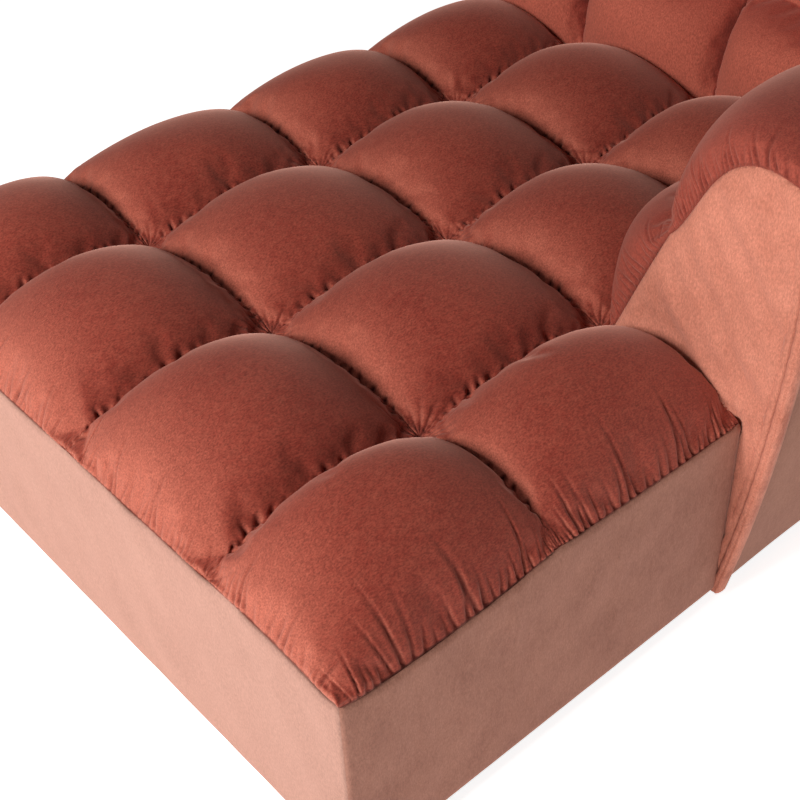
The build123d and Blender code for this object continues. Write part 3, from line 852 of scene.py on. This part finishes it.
# The side borders' tones are the same velvet made browner and darker for the shade they stand in: painted
# shade
SIDE_SHADE_TONES = ("#8A5A4A", "#9C6A58", "#AE7B69", "#A87664")
side_shade_velvet = cut_velvet("cut_velvet_side_border", SIDE_SHADE_TONES, DOWNWARD, 0.16)
border_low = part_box("foot_border")[0].z
open_x, side_x = column_lines[0], column_lines[4]
foot_y, arm_y = row_lines[0], row_lines[2]
rear_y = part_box("open_side_border")[1].y
foot_seam = (0, column_lines, crossing[:, 0], row_middle[:, 0])
arm_side_seam = (1, row_lines[:3], crossing[4, :3], seam_middle[4, :2])
open_side_seam = (1, row_lines, crossing[0, :], seam_middle[0, :])
foot_corner, arm_corner = (side_x, foot_y), (side_x, arm_y + FACING_LAP)
open_corner, rear_corner = (open_x, foot_y), (open_x, rear_y)
border_runs = (
    ("foot_border", open_corner, foot_corner, foot_seam, (SOFT_CORNER, SOFT_CORNER), foot_sheen_velvet),
    ("arm_side_border", foot_corner, arm_corner, arm_side_seam, (SOFT_CORNER, 0.0), side_shade_velvet),
    ("open_side_border", rear_corner, open_corner, open_side_seam, (0.0, SOFT_CORNER), side_shade_velvet),
)
joining_mount = next(m for m in frame["record"]["mounts"] if m["name"] == "joining_holes")
joining_spacing = Vector((0, joining_mount["dims"]["spacing_x_mm"] / 1000, 0))
joining_middle = Vector(joining_mount["pos_m"])
joining_holes = (joining_middle - joining_spacing / 2, joining_middle + joining_spacing / 2)
PUNCH_DEPTH = 0.06
PUNCH_SLACK = 0.0002


# Cuts a round hole through a panel along X at each place
def punch(piece, holes, radius):
    builder = bmesh.new()
    for hole in holes:
        turned = Matrix.Translation(hole) @ Matrix.Rotation(math.pi / 2, 4, "Y")
        bmesh.ops.create_cone(
            builder,
            cap_ends=True,
            segments=32,
            radius1=radius,
            radius2=radius,
            depth=PUNCH_DEPTH,
            matrix=turned,
        )
    cutter = made("punch", builder)
    cut = piece.modifiers.new("holes", "BOOLEAN")
    cut.operation = "DIFFERENCE"
    cut.object = cutter
    evaluated = piece.evaluated_get(bpy.context.evaluated_depsgraph_get())
    whole = piece.data
    piece.data = bpy.data.meshes.new_from_object(evaluated)
    piece.modifiers.clear()
    bpy.data.meshes.remove(whole)
    piece.data.name = piece.name
    bpy.data.meshes.remove(cutter.data)


for seed, (node, start, end, seam, soft, velvet) in enumerate(border_runs):
    panel = border_panel(f"velvet_{node}", (*start, border_low), (*end, border_low), seam, soft, 21 + seed)
    if node == "open_side_border":
        punch(panel, joining_holes, joining_mount["dims"]["hole_r_mm"] / 1000 + PUNCH_SLACK)
    panel.data.materials.append(velvet)
    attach(panel, "root")
    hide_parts(node)


# Arm frame: a sill, ribs and a thin inner board of birch plywood, pine battens and a hardboard outside.
# The ribs are slotted over the battens, and the boards are stapled to the ribs.
# Sawn birch plywood is pale and dull, with light and dark plies in turn.
def sawn_plywood():
    ply = 0.0015
    material, tree, surface = new_material("sawn_birch_plywood")
    place = add_node(tree, "ShaderNodeTexCoord", {}, {})
    plies = add_node(
        tree,
        "ShaderNodeTexWave",
        {"bands_direction": "Y", "Scale": WAVE_REPEAT / (2 * ply), "Distortion": 1.2, "Detail": 2.0},
        {"Vector": (place, "Object")},
    )
    two_tones(tree, surface, "#D8B98A", "#B78D5B", (plies, "Fac"), (plies, "Fac"), 0.2, 0.0003)
    surface.inputs["Roughness"].default_value = 0.6
    return material


plywood = sawn_plywood()
hardboard = speckled("pressed_hardboard", 0.002, "#8A6645", "#5E4129", 0.55)
finish_nodes(("arm_battens",), pine)
finish_nodes(("arm_sill", "arm_ribs", "arm_inner_board"), plywood)
finish_nodes(("arm_outer_board",), hardboard)

# Arm cover: two rows of gathered velvet squares over the inside and the crest, sewn to the facing in front,
# to the outer cover behind and to the back's cover in a mitre.
# A point of the roll's cross-section is its distance out from the seat line and its height.
ROLL_CELLS = 40
# Row of the skin at which the inside of the roll passes into its outside
SHOULDER_ROW = 2.2
# How far the cover starts behind the face of the facing
ROLL_SKIN = 0.003
ROLL_PAD = 0.004
# Length of the skin over the low row and over the high one
LOW_SKIN = 0.26
HIGH_SKIN = 0.54
FACING_GATHERS = {"spacing": 0.0100, "reach": 0.095, "depth": 0.0060}
ROLL_GATHERS = {"spacing": 0.017, "reach": 0.040, "depth": 0.0050}
FACING_CREASES = {"count": 5, "reach": 0.09, "depth": 0.0015}
ROLL_CREASES = {"count": 5, "reach": 0.09, "depth": 0.0040}
# The folds stop short of the point where the row seam meets the facing
ROW_PLAIN = 0.02
ROW_FADE = 0.06
# Painted shade of the seam to the facing, as a share of the darkest fold
PAINTED_SEAM_SHADE = 0.4
roll_depth = side_x - column_lines[3]
# The section at the facing, at the seams between bays and at the crowns: foot, row seam and shoulder of the
# roll, and how far each of the two stretches between them bulges
EDGE_LINE = ((0.004, 0.320), (0.098, 0.540), (roll_depth + 0.043, 0.666))
EDGE_BULGES = (0.001, 0.056)
SEAM_LINE = ((0.004, 0.320), (0.106, 0.540), (roll_depth + 0.037, 0.663))
SEAM_BULGES = (0.010, 0.064)
CROWN_LINE = ((0.0055, 0.326), (0.0745, 0.536), (roll_depth + 0.040, 0.692))
CROWN_BULGES = (0.076, 0.102)
OUTER_SEAM = (roll_depth + 0.065, 0.470)
OUTER_BOW = 0.009
SHOULDER_BOW = 0.010


def swell(part, exponent):
    return arch(part) ** exponent


# Distances out and heights along the line from start to end, bulged by the given shares of the bulge
def bulged(start, end, bulge, part, shape):
    run, climb = end[0] - start[0], end[1] - start[1]
    out = bulge * shape / np.hypot(run, climb)
    return np.array([start[0] + run * part - climb * out, start[1] + climb * part + run * out])


# Cross-section of a roll for rows up its skin: a low and a high stretch of the inside, then the outer seam.
# At the facing the high stretch leans back, elsewhere each stretch is an even bulge.
def roll_section(line, bulges, up, at_facing):
    low_part = plan_share(np.clip(up, 0, 1))
    low = bulged(line[0], line[1], bulges[0], low_part, swell(low_part**1.35, 0.75))
    climb = np.clip((up - 1) / (SHOULDER_ROW - 1), 0, 1)
    high_part = (climb + 1 - np.cos(np.pi / 2 * climb)) / 2
    high_shape = arch(high_part**1.5) if at_facing else swell(high_part, 0.62)
    high = bulged(line[1], line[2], bulges[1], high_part, high_shape)
    fall = np.clip((up - SHOULDER_ROW) / (3 - SHOULDER_ROW), 0, 1)
    outer = bulged(line[2], OUTER_SEAM, SHOULDER_BOW, fall, arch(fall))
    return np.where(up <= 1, low, np.where(up <= SHOULDER_ROW, high, outer))


# Makes the tufted cover of a roll from its bays: start, length, and whether the bay turns into the mitre.
# The levels are the rounds of subdivision before the folds are pressed in.
def roll_cover(name, bays, place, turned, levels, seed):
    chance = np.random.RandomState(seed)
    piece = sewn_grid(name, len(bays), 3, ROLL_CELLS, turned)

    def skin_points(spots):
        bay = np.minimum(spots[:, 0].astype(int), len(bays) - 1)
        along = plan_share(spots[:, 0] - bay)
        points = np.zeros((len(spots), 3))
        for i, (start, length, turn) in enumerate(bays):
            here = bay == i
            up, share = spots[here, 1], along[here]
            last = roll_section(SEAM_LINE, SEAM_BULGES, up, False)
            first = roll_section(EDGE_LINE, EDGE_BULGES, up, True) if i == 0 else last
            crown = roll_section(CROWN_LINE, CROWN_BULGES, up, False)
            filled = (crown - (first + last) / 2) * rise(share, 2.4, 0.55)
            out, height = first + (last - first) * share + filled
            run = start + length * share + turn * share * out
            points[here] = np.column_stack([*place(run, out), height])
        return points

    spots = squares_of(piece)
    put_points(piece.data, skin_points(spots))
    sewn = (spots[:, 0] % 1 == 0) | np.isin(spots[:, 1], (0, 1, 3))
    put_points(piece.data, stuff(piece, sewn, STUFFING))
    subdivide(piece, levels)
    spots = squares_of(piece)
    depth = np.zeros(len(spots))
    for i, (_, length, _) in enumerate(bays):
        inside = np.floor(np.minimum(spots[:, 0], len(bays) - 0.001)) == i
        for low, high, tall in ((0, 1, LOW_SKIN), (1, 3, HIGH_SKIN)):
            square = inside & (spots[:, 1] >= low) & (spots[:, 1] <= high)
            wide = length * SKIN_ARC
            s = (spots[square, 0] - i) * wide
            t = (spots[square, 1] - low) / (high - low) * tall
            folds = gathers(chance, t, s, tall, **(ROLL_GATHERS if i else FACING_GATHERS))
            for along, away, seam in ((t, wide - s, tall), (s, t, wide), (s, tall - t, wide)):
                folds += gathers(chance, along, away, seam, **ROLL_GATHERS)
            for first, second in ((s, t), (wide - s, t), (s, tall - t), (wide - s, tall - t)):
                kind = FACING_CREASES if i == 0 and first is s else ROLL_CREASES
                folds += creases(chance, first, second, **kind)
            if i == 0:
                from_row = t if low else tall - t
                folds *= np.clip((np.hypot(s, from_row) - ROW_PLAIN) / ROW_FADE, 0, 1)
            depth[square] = folds
    at_facing = spots[:, 0] < 0.3 / ROLL_CELLS
    # The seam to the facing gets a faint line of painted shade
    fold_in_and_shade(piece, depth, at_facing, PAINTED_SEAM_SHADE)
    smooth(piece)
    back_up(piece, ROLL_PAD)
    return piece


arm_x, back_y = column_lines[3], row_lines[4]
arm_bays = ((arm_y + ROLL_SKIN, SEAT_ROW - ROLL_SKIN, 0), (arm_y + SEAT_ROW, SEAT_ROW, 1))


# Place in plan of a distance along the arm and a distance out from the seat
def along_arm(run, out):
    return arm_x + out, run


arm_cover = roll_cover("tufted_arm_cover", arm_bays, along_arm, turned=True, levels=2, seed=31)
arm_cover.data.materials.append(roll_velvet)
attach(arm_cover, "root")
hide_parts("arm_cover")


# Arm facing: one flat panel of velvet over wadding that closes the roll in front, sewn to the gathered cover
# along the inside and the crest, and flat-felled to the outer cover along its outer edge.
FACING_CELL = 0.004
FACING_PULLS = {"count": 4, "reach": 0.12, "depth": 0.0075}
FACING_WAVES = (0.0032, 0.14)
DIAGONAL_WAVES = (0.0030, 0.06)
# Height up to which the facing is cut into cells, above its crest
FACING_TOP = 0.7
# How far the facing stands out, and the depth and reach of its turn at the edge and at the flat seam
FACING_LIFT = 0.003
EDGE_TURN = (0.007, 0.016)
FLAT_TURN = (0.016, 0.030)
# Half the width of the facing's foot on the floor
FACING_FOOT = 0.004
# The facing's tones are the same velvet made paler for the key light and sheen on it: painted light
FACING_LIT_TONES = ("#A05742", "#D0846D", "#DC957E", "#C97F68")
facing_lit_velvet = cut_velvet("cut_velvet_facing", FACING_LIT_TONES, DOWNWARD, 0.18)


# Outline of a facing as distances out and heights, from the seat line over the crest to the floor
def facing_outline():
    rolled = roll_section(EDGE_LINE, EDGE_BULGES, np.linspace(0, 3, 160)[:-1], True).T
    tucked = roll_depth - FACING_FOOT
    lower = np.array([(tucked, border_low), (tucked, EDGE_LINE[0][1])])
    return np.vstack([rolled, outer_edge(3, 40), lower])


# Outer edge of a facing, from a row on the roll's shoulder over the outer seam down to the floor
def outer_edge(row, count):
    shoulder = roll_section(EDGE_LINE, EDGE_BULGES, np.linspace(row, 3, count)[:-1], True).T
    part = np.linspace(0, 1, count)
    foot = (roll_depth + FACING_FOOT, border_low)
    outer = bulged(OUTER_SEAM, foot, OUTER_BOW, part, arch(part)).T
    return np.vstack([shoulder, outer]) if row < 3 else outer


# Distance of each point to the nearest stretch of an outline, closed or open
def edge_distance(points, outline, closed):
    nearest = np.full(len(points), 1.0)
    ends = np.roll(outline, -1, axis=0)
    for start, end in list(zip(outline, ends))[: None if closed else -1]:
        run = end - start
        share = np.clip(((points - start) @ run) / (run @ run), 0, 1)
        nearest = np.minimum(nearest, np.linalg.norm(points - start - share[:, None] * run, axis=1))
    return nearest


# A facing is the outline cut into cells and padded out, set upright by its place function
def facing(name, place, turned, seed):
    chance = np.random.RandomState(seed)
    outline = facing_outline()
    builder = bmesh.new()
    face = builder.faces.new([builder.verts.new((u, 0, z)) for u, z in outline])
    if turned:
        face.normal_flip()
    cuts = [((u, 0, 0), (1, 0, 0)) for u in np.arange(0, OUTER_SEAM[0], FACING_CELL)]
    cuts += [((0, 0, z), (0, 0, 1)) for z in np.arange(0, FACING_TOP, FACING_CELL)]
    for spot, normal in cuts:
        geometry = builder.verts[:] + builder.edges[:] + builder.faces[:]
        bmesh.ops.bisect_plane(builder, geom=geometry, plane_co=spot, plane_no=normal)
    piece = made(name, builder)
    flat = points_of(piece.data)[:, [0, 2]]
    edge = edge_distance(flat, outline, True)
    flat_seam = edge_distance(flat, outer_edge(SHOULDER_ROW, 40), False)
    turned_in = np.maximum(
        EDGE_TURN[0] * drawn_in(edge, EDGE_TURN[1]),
        FLAT_TURN[0] * drawn_in(flat_seam, FLAT_TURN[1]),
    )
    out, height = flat.T
    waves = FACING_WAVES[0] * undulation(chance, out, height, FACING_WAVES[1])
    waves += DIAGONAL_WAVES[0] * undulation(chance, out + 0.4 * height, 0.6 * height, DIAGONAL_WAVES[1])
    lift = FACING_LIFT - turned_in + waves * np.clip(edge / CALM_END, 0, 1)
    # The corner of seat and side border pulls creases into the facing
    beside, above = np.abs(out - roll_depth), np.abs(height - SEAM_HEIGHT)
    lift -= creases(chance, beside, above, **FACING_PULLS)
    put_points(piece.data, np.column_stack([*place(out, lift), height]))
    smooth(piece)
    back_up(piece, BORDER_PAD)
    piece.data.materials.append(facing_lit_velvet)
    return piece


# Place in plan on the front of the arm
def before_arm(out, lift):
    return arm_x + out, arm_y - lift


arm_facing = facing("velvet_arm_facing", before_arm, turned=True, seed=41)
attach(arm_facing, "root")
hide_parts("arm_front_facing")

# Flange of the facing's outer seam: the edges of facing and outer cover turned under and stitched twice,
# as a raised strip from the roll's shoulder to the floor.
FLANGE_CELL = 0.0009
STITCH = 0.0042
# Distances in from the outline, and how far the strip stands out there. The deep groove is the seam itself.
FLANGE_SECTION = (
    (0.0260, -0.0010),
    (0.0215, 0.0034),
    (0.0165, 0.0036),
    (0.0136, 0.0034),
    (0.0122, -0.0022),
    (0.0110, 0.0044),
    (0.0080, 0.0058),
    (0.0050, 0.0054),
    (0.0034, 0.0044),
    (0.0018, 0.0050),
    (0.0, 0.0042),
    (-0.0022, 0.0),
    (-0.0030, -0.0060),
    (-0.0030, -0.0120),
)
SEAM_GROOVE = 0.0122
STITCHED = 0.0034
STITCH_HEIGHT = 0.0011
FLANGE_PAD = 0.002
# Row on the roll's shoulder where the flange starts, and the depth and reach of its sinking in there
FLANGE_ROW = SHOULDER_ROW + 0.1
FLANGE_START = (0.010, 0.060)
# Height and length of the ripples that the stitching leaves
FLANGE_RIPPLES = (0.0006, 0.031)
FLANGE_SLOPE_STEP = 0.002


def flange(name, place, turned):
    path = outer_edge(FLANGE_ROW, 200)
    arc = np.append(0, np.cumsum(np.linalg.norm(np.diff(path, axis=0), axis=1)))
    piece, shares = flat_grid(name, round(arc[-1] / FLANGE_CELL), len(FLANGE_SECTION) - 1)
    if turned:
        piece.data.flip_normals()
    spot = shares[:, 0] * arc[-1]
    out, height = np.interp(spot, arc, path[:, 0]), np.interp(spot, arc, path[:, 1])
    before, after = spot - FLANGE_SLOPE_STEP, spot + FLANGE_SLOPE_STEP
    run = np.interp(after, arc, path[:, 0]) - np.interp(before, arc, path[:, 0])
    drop = np.interp(after, arc, path[:, 1]) - np.interp(before, arc, path[:, 1])
    size = np.hypot(run, drop)
    step = np.round(shares[:, 1] * (len(FLANGE_SECTION) - 1)).astype(int)
    inward, lift = np.array(FLANGE_SECTION)[step].T
    lift = lift + np.where(inward == STITCHED, STITCH_HEIGHT * np.sin(2 * np.pi * spot / STITCH), 0.0)
    lift += FLANGE_RIPPLES[0] * np.sin(2 * np.pi * spot / FLANGE_RIPPLES[1]) * (inward > -0.001)
    lift -= FLANGE_START[0] * drawn_in(spot, FLANGE_START[1])
    points = np.column_stack([*place(out + inward * drop / size, lift), height - inward * run / size])
    put_points(piece.data, points)
    # The seam groove is painted dark: painted shade
    mark_fold_shade(piece.data, np.where(inward == SEAM_GROOVE, 1.0, 0.0))
    smooth(piece)
    back_up(piece, FLANGE_PAD)
    piece.data.materials.append(facing_lit_velvet)
    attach(piece, "root")


flange("velvet_arm_facing_flange", before_arm, turned=False)


# Outer covers: plain velvet pulled over the hardboard from the roll's outer seam down to the floor,
# and stapled under the rails.
OUTER_GATHERS = {"spacing": 0.025, "reach": 0.05, "depth": 0.0012}
OUTER_WAVES = (0.0012, 0.18)
OUTER_TURN = (0.004, 0.012)
# How far an outer cover starts behind the flange
OUTER_GAP = 0.002
# The outer covers' tones are the same velvet made browner and darker for the shade they stand in: painted
# shade
OUTER_SHADE_TONES = ("#7E5140", "#90614D", "#A27461", "#90614D")
outer_shade_velvet = cut_velvet("cut_velvet_outer", OUTER_SHADE_TONES, DOWNWARD, 0.16)


def outer_cover(name, begin, end, place, turned, seed):
    chance = np.random.RandomState(seed)
    tall = OUTER_SEAM[1] - border_low
    piece, shares = flat_grid(name, round((end - begin) / BORDER_CELL), round(tall / BORDER_CELL))
    if turned:
        piece.data.flip_normals()
    foot = (roll_depth, border_low)
    out, height = bulged(OUTER_SEAM, foot, OUTER_BOW, 1 - shares[:, 1], arch(shares[:, 1]))
    along, up = shares[:, 0] * (end - begin), shares[:, 1] * tall
    lift = OUTER_WAVES[0] * undulation(chance, along, up, OUTER_WAVES[1])
    lift -= LOW_TURN[0] * drawn_in(up, LOW_TURN[1]) + OUTER_TURN[0] * drawn_in(tall - up, OUTER_TURN[1])
    lift -= gathers(chance, along, tall - up, end - begin, **OUTER_GATHERS)
    run = begin + along + shares[:, 0] * (out + lift)
    put_points(piece.data, np.column_stack([*place(run, out + lift), height]))
    smooth(piece)
    back_up(piece, BORDER_PAD)
    piece.data.materials.append(outer_shade_velvet)
    return piece


arm_outer = outer_cover(
    "velvet_arm_outer_cover",
    arm_y + OUTER_GAP,
    back_y,
    along_arm,
    turned=False,
    seed=51,
)
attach(arm_outer, "root")
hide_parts("arm_outer_cover")

# Back frame: the same sill, ribs, battens and boards as in the arm, across the whole width.
# It stands on the rail frame and meets the arm's in the corner.
finish_nodes(("back_battens",), pine)
finish_nodes(("back_sill", "back_ribs", "back_inner_board"), plywood)
finish_nodes(("back_outer_board",), hardboard)

# Back covers: three bays of tufted velvet, a facing that closes the open end, and a plain outer cover.
# They are cut and sewn as on the arm, and the tufted cover meets the arm's in the mitre.
BACK_TONES = ("#96372C", "#A14335", "#B35A48", "#C66B55")
back_velvet = cut_velvet("cut_velvet_back", BACK_TONES, DOWNWARD, 0.26)
back_bays = (
    (open_x + ROLL_SKIN, SEAT_COLUMN - ROLL_SKIN, 0),
    (open_x + SEAT_COLUMN, SEAT_COLUMN, 0),
    (arm_x - SEAT_COLUMN, SEAT_COLUMN, 1),
)


# Place in plan of a distance along the back and a distance out from the seat
def along_back(run, out):
    return run, back_y + out


# Place in plan on the open end of the back
def beside_back(out, lift):
    return open_x - lift, back_y + out


back_cover = roll_cover("tufted_back_cover", back_bays, along_back, turned=False, levels=1, seed=33)
back_cover.data.materials.append(back_velvet)
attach(back_cover, "root")
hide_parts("back_cover")

back_facing = facing("velvet_back_end_facing", beside_back, turned=False, seed=43)
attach(back_facing, "root")
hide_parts("back_end_facing")
flange("velvet_back_facing_flange", beside_back, turned=True)

back_outer = outer_cover(
    "velvet_back_outer_cover",
    open_x + OUTER_GAP,
    arm_x,
    along_back,
    turned=True,
    seed=53,
)
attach(back_outer, "root")
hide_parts("back_outer_cover")


# Dust cloth: black non-woven cloth stretched under the rails and stapled along its edges.
# It hangs a little between the rails, from the held edge inwards.
CLOTH_CELL = 0.012
CLOTH_SAG = 0.004
CLOTH_HELD = 0.05
CLOTH_FALL = 0.15
CLOTH_LIFT = 0.001
CLOTH_RIPPLE = 0.3
STAPLE_SPACING = 0.055
STAPLE_INSET = 0.012
STAPLE_CROWN = (0.011, 0.0014, 0.0009)
STAPLE_SINK = 0.0005
STAPLE_ROUND = 0.0003
cloth_low, cloth_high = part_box("dust_cover")
cloth_size = cloth_high - cloth_low
cloth_cells = (round(cloth_size.x / CLOTH_CELL), round(cloth_size.y / CLOTH_CELL))
dust_cloth, cloth_shares = flat_grid("dust_cloth", *cloth_cells)
dust_cloth.data.flip_normals()
cloth_spots = cloth_shares * np.array(cloth_size[:2])
from_edge = np.minimum(cloth_spots, np.array(cloth_size[:2]) - cloth_spots).min(axis=1)
slack = np.clip((from_edge - CLOTH_HELD) / CLOTH_FALL, 0, 1)
ripples = undulation(np.random.RandomState(61), *cloth_spots.T, CLOTH_RIPPLE)
cloth_height = cloth_low.z + CLOTH_LIFT - CLOTH_SAG * slack * (0.6 + 0.4 * ripples)
cloth_plan = np.array(cloth_low[:2]) + cloth_spots
put_points(dust_cloth.data, np.column_stack([cloth_plan, cloth_height]))
smooth(dust_cloth)
dust_cloth.data.materials.append(speckled("spunbonded_dust_cloth", 0.001, "#2A2A2A", "#151515", 0.9))
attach(dust_cloth, "root")
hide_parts("dust_cover")

# Staples: flat zinc-plated wire, driven through the cloth into the rails along its four edges.
# Only their crowns show, as small dull metal bars along each edge.
zinc = speckled("zinc_plated_steel", 0.0012, "#C9CBCC", "#A5A8AA", 0.35, 1.0)
builder = bmesh.new()
for first, second in ((0, 1), (1, 0)):
    run = cloth_size[first] - 2 * STAPLE_INSET
    count = round(run / STAPLE_SPACING)
    long, narrow, thick = STAPLE_CROWN
    crown = (long, narrow, thick, 1) if first == 0 else (narrow, long, thick, 1)
    for i in range(1, count):
        for edge in (cloth_low[second] + STAPLE_INSET, cloth_high[second] - STAPLE_INSET):
            spot = Vector((0, 0, cloth_low.z + STAPLE_SINK))
            spot[first] = cloth_low[first] + STAPLE_INSET + run * i / count
            spot[second] = edge
            sized = Matrix.Translation(spot) @ Matrix.Diagonal(crown)
            bmesh.ops.create_cube(builder, size=1.0, matrix=sized)
rims = builder.edges[:]
bmesh.ops.bevel(
    builder,
    geom=rims,
    offset=STAPLE_ROUND,
    segments=1,
    profile=0.5,
    affect="EDGES",
    material=-1,
)
staples = made("cloth_staples", builder)
staples.data.materials.append(zinc)
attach(staples, "root")

# Feet and fixings: moulded glides under the corner blocks, and zinc-plated nuts in the open-side rail.
# An eyelet in the open-side border lets a joining bolt through to each nut.
# Radii of the eyelet and how far it stands out there
EYELET_SECTION = ((0.0046, -0.0060), (0.0046, 0.0006), (0.0056, 0.0018), (0.0080, 0.0016), (0.0094, 0.0002))
EYELET_STEPS = 32
EYELET_WALL = 0.0006
finish_nodes(("feet",), speckled("moulded_black_nylon", 0.0015, "#2B2A29", "#1D1C1B", 0.4))
finish_nodes(("joining_nuts",), zinc)
for i, hole in enumerate(joining_holes):
    builder = bmesh.new()
    outline = [builder.verts.new((-lift, radius, 0)) for radius, lift in EYELET_SECTION]
    wire = [builder.edges.new(pair) for pair in zip(outline, outline[1:])]
    bmesh.ops.spin(
        builder,
        geom=outline + wire,
        cent=(0, 0, 0),
        axis=(1, 0, 0),
        angle=2 * math.pi,
        steps=EYELET_STEPS,
        use_merge=True,
    )
    bmesh.ops.recalc_face_normals(builder, faces=builder.faces[:])
    bmesh.ops.translate(builder, verts=builder.verts[:], vec=hole)
    eyelet = made(f"joining_eyelet_{i + 1}", builder)
    smooth(eyelet)
    back_up(eyelet, EYELET_WALL)
    eyelet.data.materials.append(zinc)
    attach(eyelet, "root")

# Stage: a plain white floor, lit from below as on a photographer's light table
FLOOR_GLOW = 0.8
FLOOR_REACH = 12.0
builder = bmesh.new()
bmesh.ops.create_grid(builder, x_segments=1, y_segments=1, size=FLOOR_REACH)
floor = made("studio_floor", builder)
floor_paint, _, floor_surface = new_material("white_studio_floor")
floor_surface.inputs["Base Color"].default_value = linear("#F4F4F4")
floor_surface.inputs["Roughness"].default_value = 0.8
floor_surface.inputs["Emission Color"].default_value = (1.0, 1.0, 1.0, 1.0)
floor_surface.inputs["Emission Strength"].default_value = FLOOR_GLOW
floor.data.materials.append(floor_paint)

# Light: one large soft key from the foot end, a weak fill from the arm side, and a dim white room
ROOM_LIGHT = 0.06
SOFTBOX = (1.6, 1.2)
LIGHT_AIM = Vector((0.0, 0.0, 0.35))
world = bpy.data.worlds.new("white_room")
bpy.context.scene.world = world
world.use_nodes = True
room = world.node_tree.nodes["Background"]
room.inputs["Color"].default_value = (1.0, 1.0, 1.0, 1.0)
room.inputs["Strength"].default_value = ROOM_LIGHT
for name, spot, watts in (("key", (0.0, -3.6, 2.4), 158), ("fill", (4.0, -0.5, 1.6), 24)):
    softbox = bpy.data.lights.new(name, "AREA")
    softbox.shape = "RECTANGLE"
    softbox.size, softbox.size_y = SOFTBOX
    softbox.energy = watts
    light = bpy.data.objects.new(name, softbox)
    light.location = spot
    aim = LIGHT_AIM - light.location
    light.rotation_euler = aim.to_track_quat("-Z", "Y").to_euler()
    bpy.context.scene.collection.objects.link(light)

bpy.context.scene.view_settings.view_transform = "Standard"

# Camera: close above the foot end's arm side, turned a little about its own axis
LENS = 61.51
AZIMUTH = math.radians(50.457)
ELEVATION = math.radians(38.822)
ROLL = math.radians(2.854)
STANDPOINT = (1.28532, -1.29540, 1.44677)
camera_data = bpy.data.cameras.new("camera")
camera_data.lens = LENS
camera_data.sensor_width = 36.0
camera = bpy.data.objects.new("camera", camera_data)
flat_share = math.cos(ELEVATION)
backward = Vector((math.sin(AZIMUTH) * flat_share, -math.cos(AZIMUTH) * flat_share, math.sin(ELEVATION)))
level = Vector((0, 0, 1)).cross(backward).normalized()
upward = backward.cross(level)
across = math.cos(ROLL) * level - math.sin(ROLL) * upward
upright = math.sin(ROLL) * level + math.cos(ROLL) * upward
turn = Matrix((across, upright, backward)).transposed().to_4x4()
camera.matrix_world = Matrix.Translation(STANDPOINT) @ turn
bpy.context.scene.collection.objects.link(camera)
bpy.context.scene.camera = camera

bpy.context.view_layer.update()
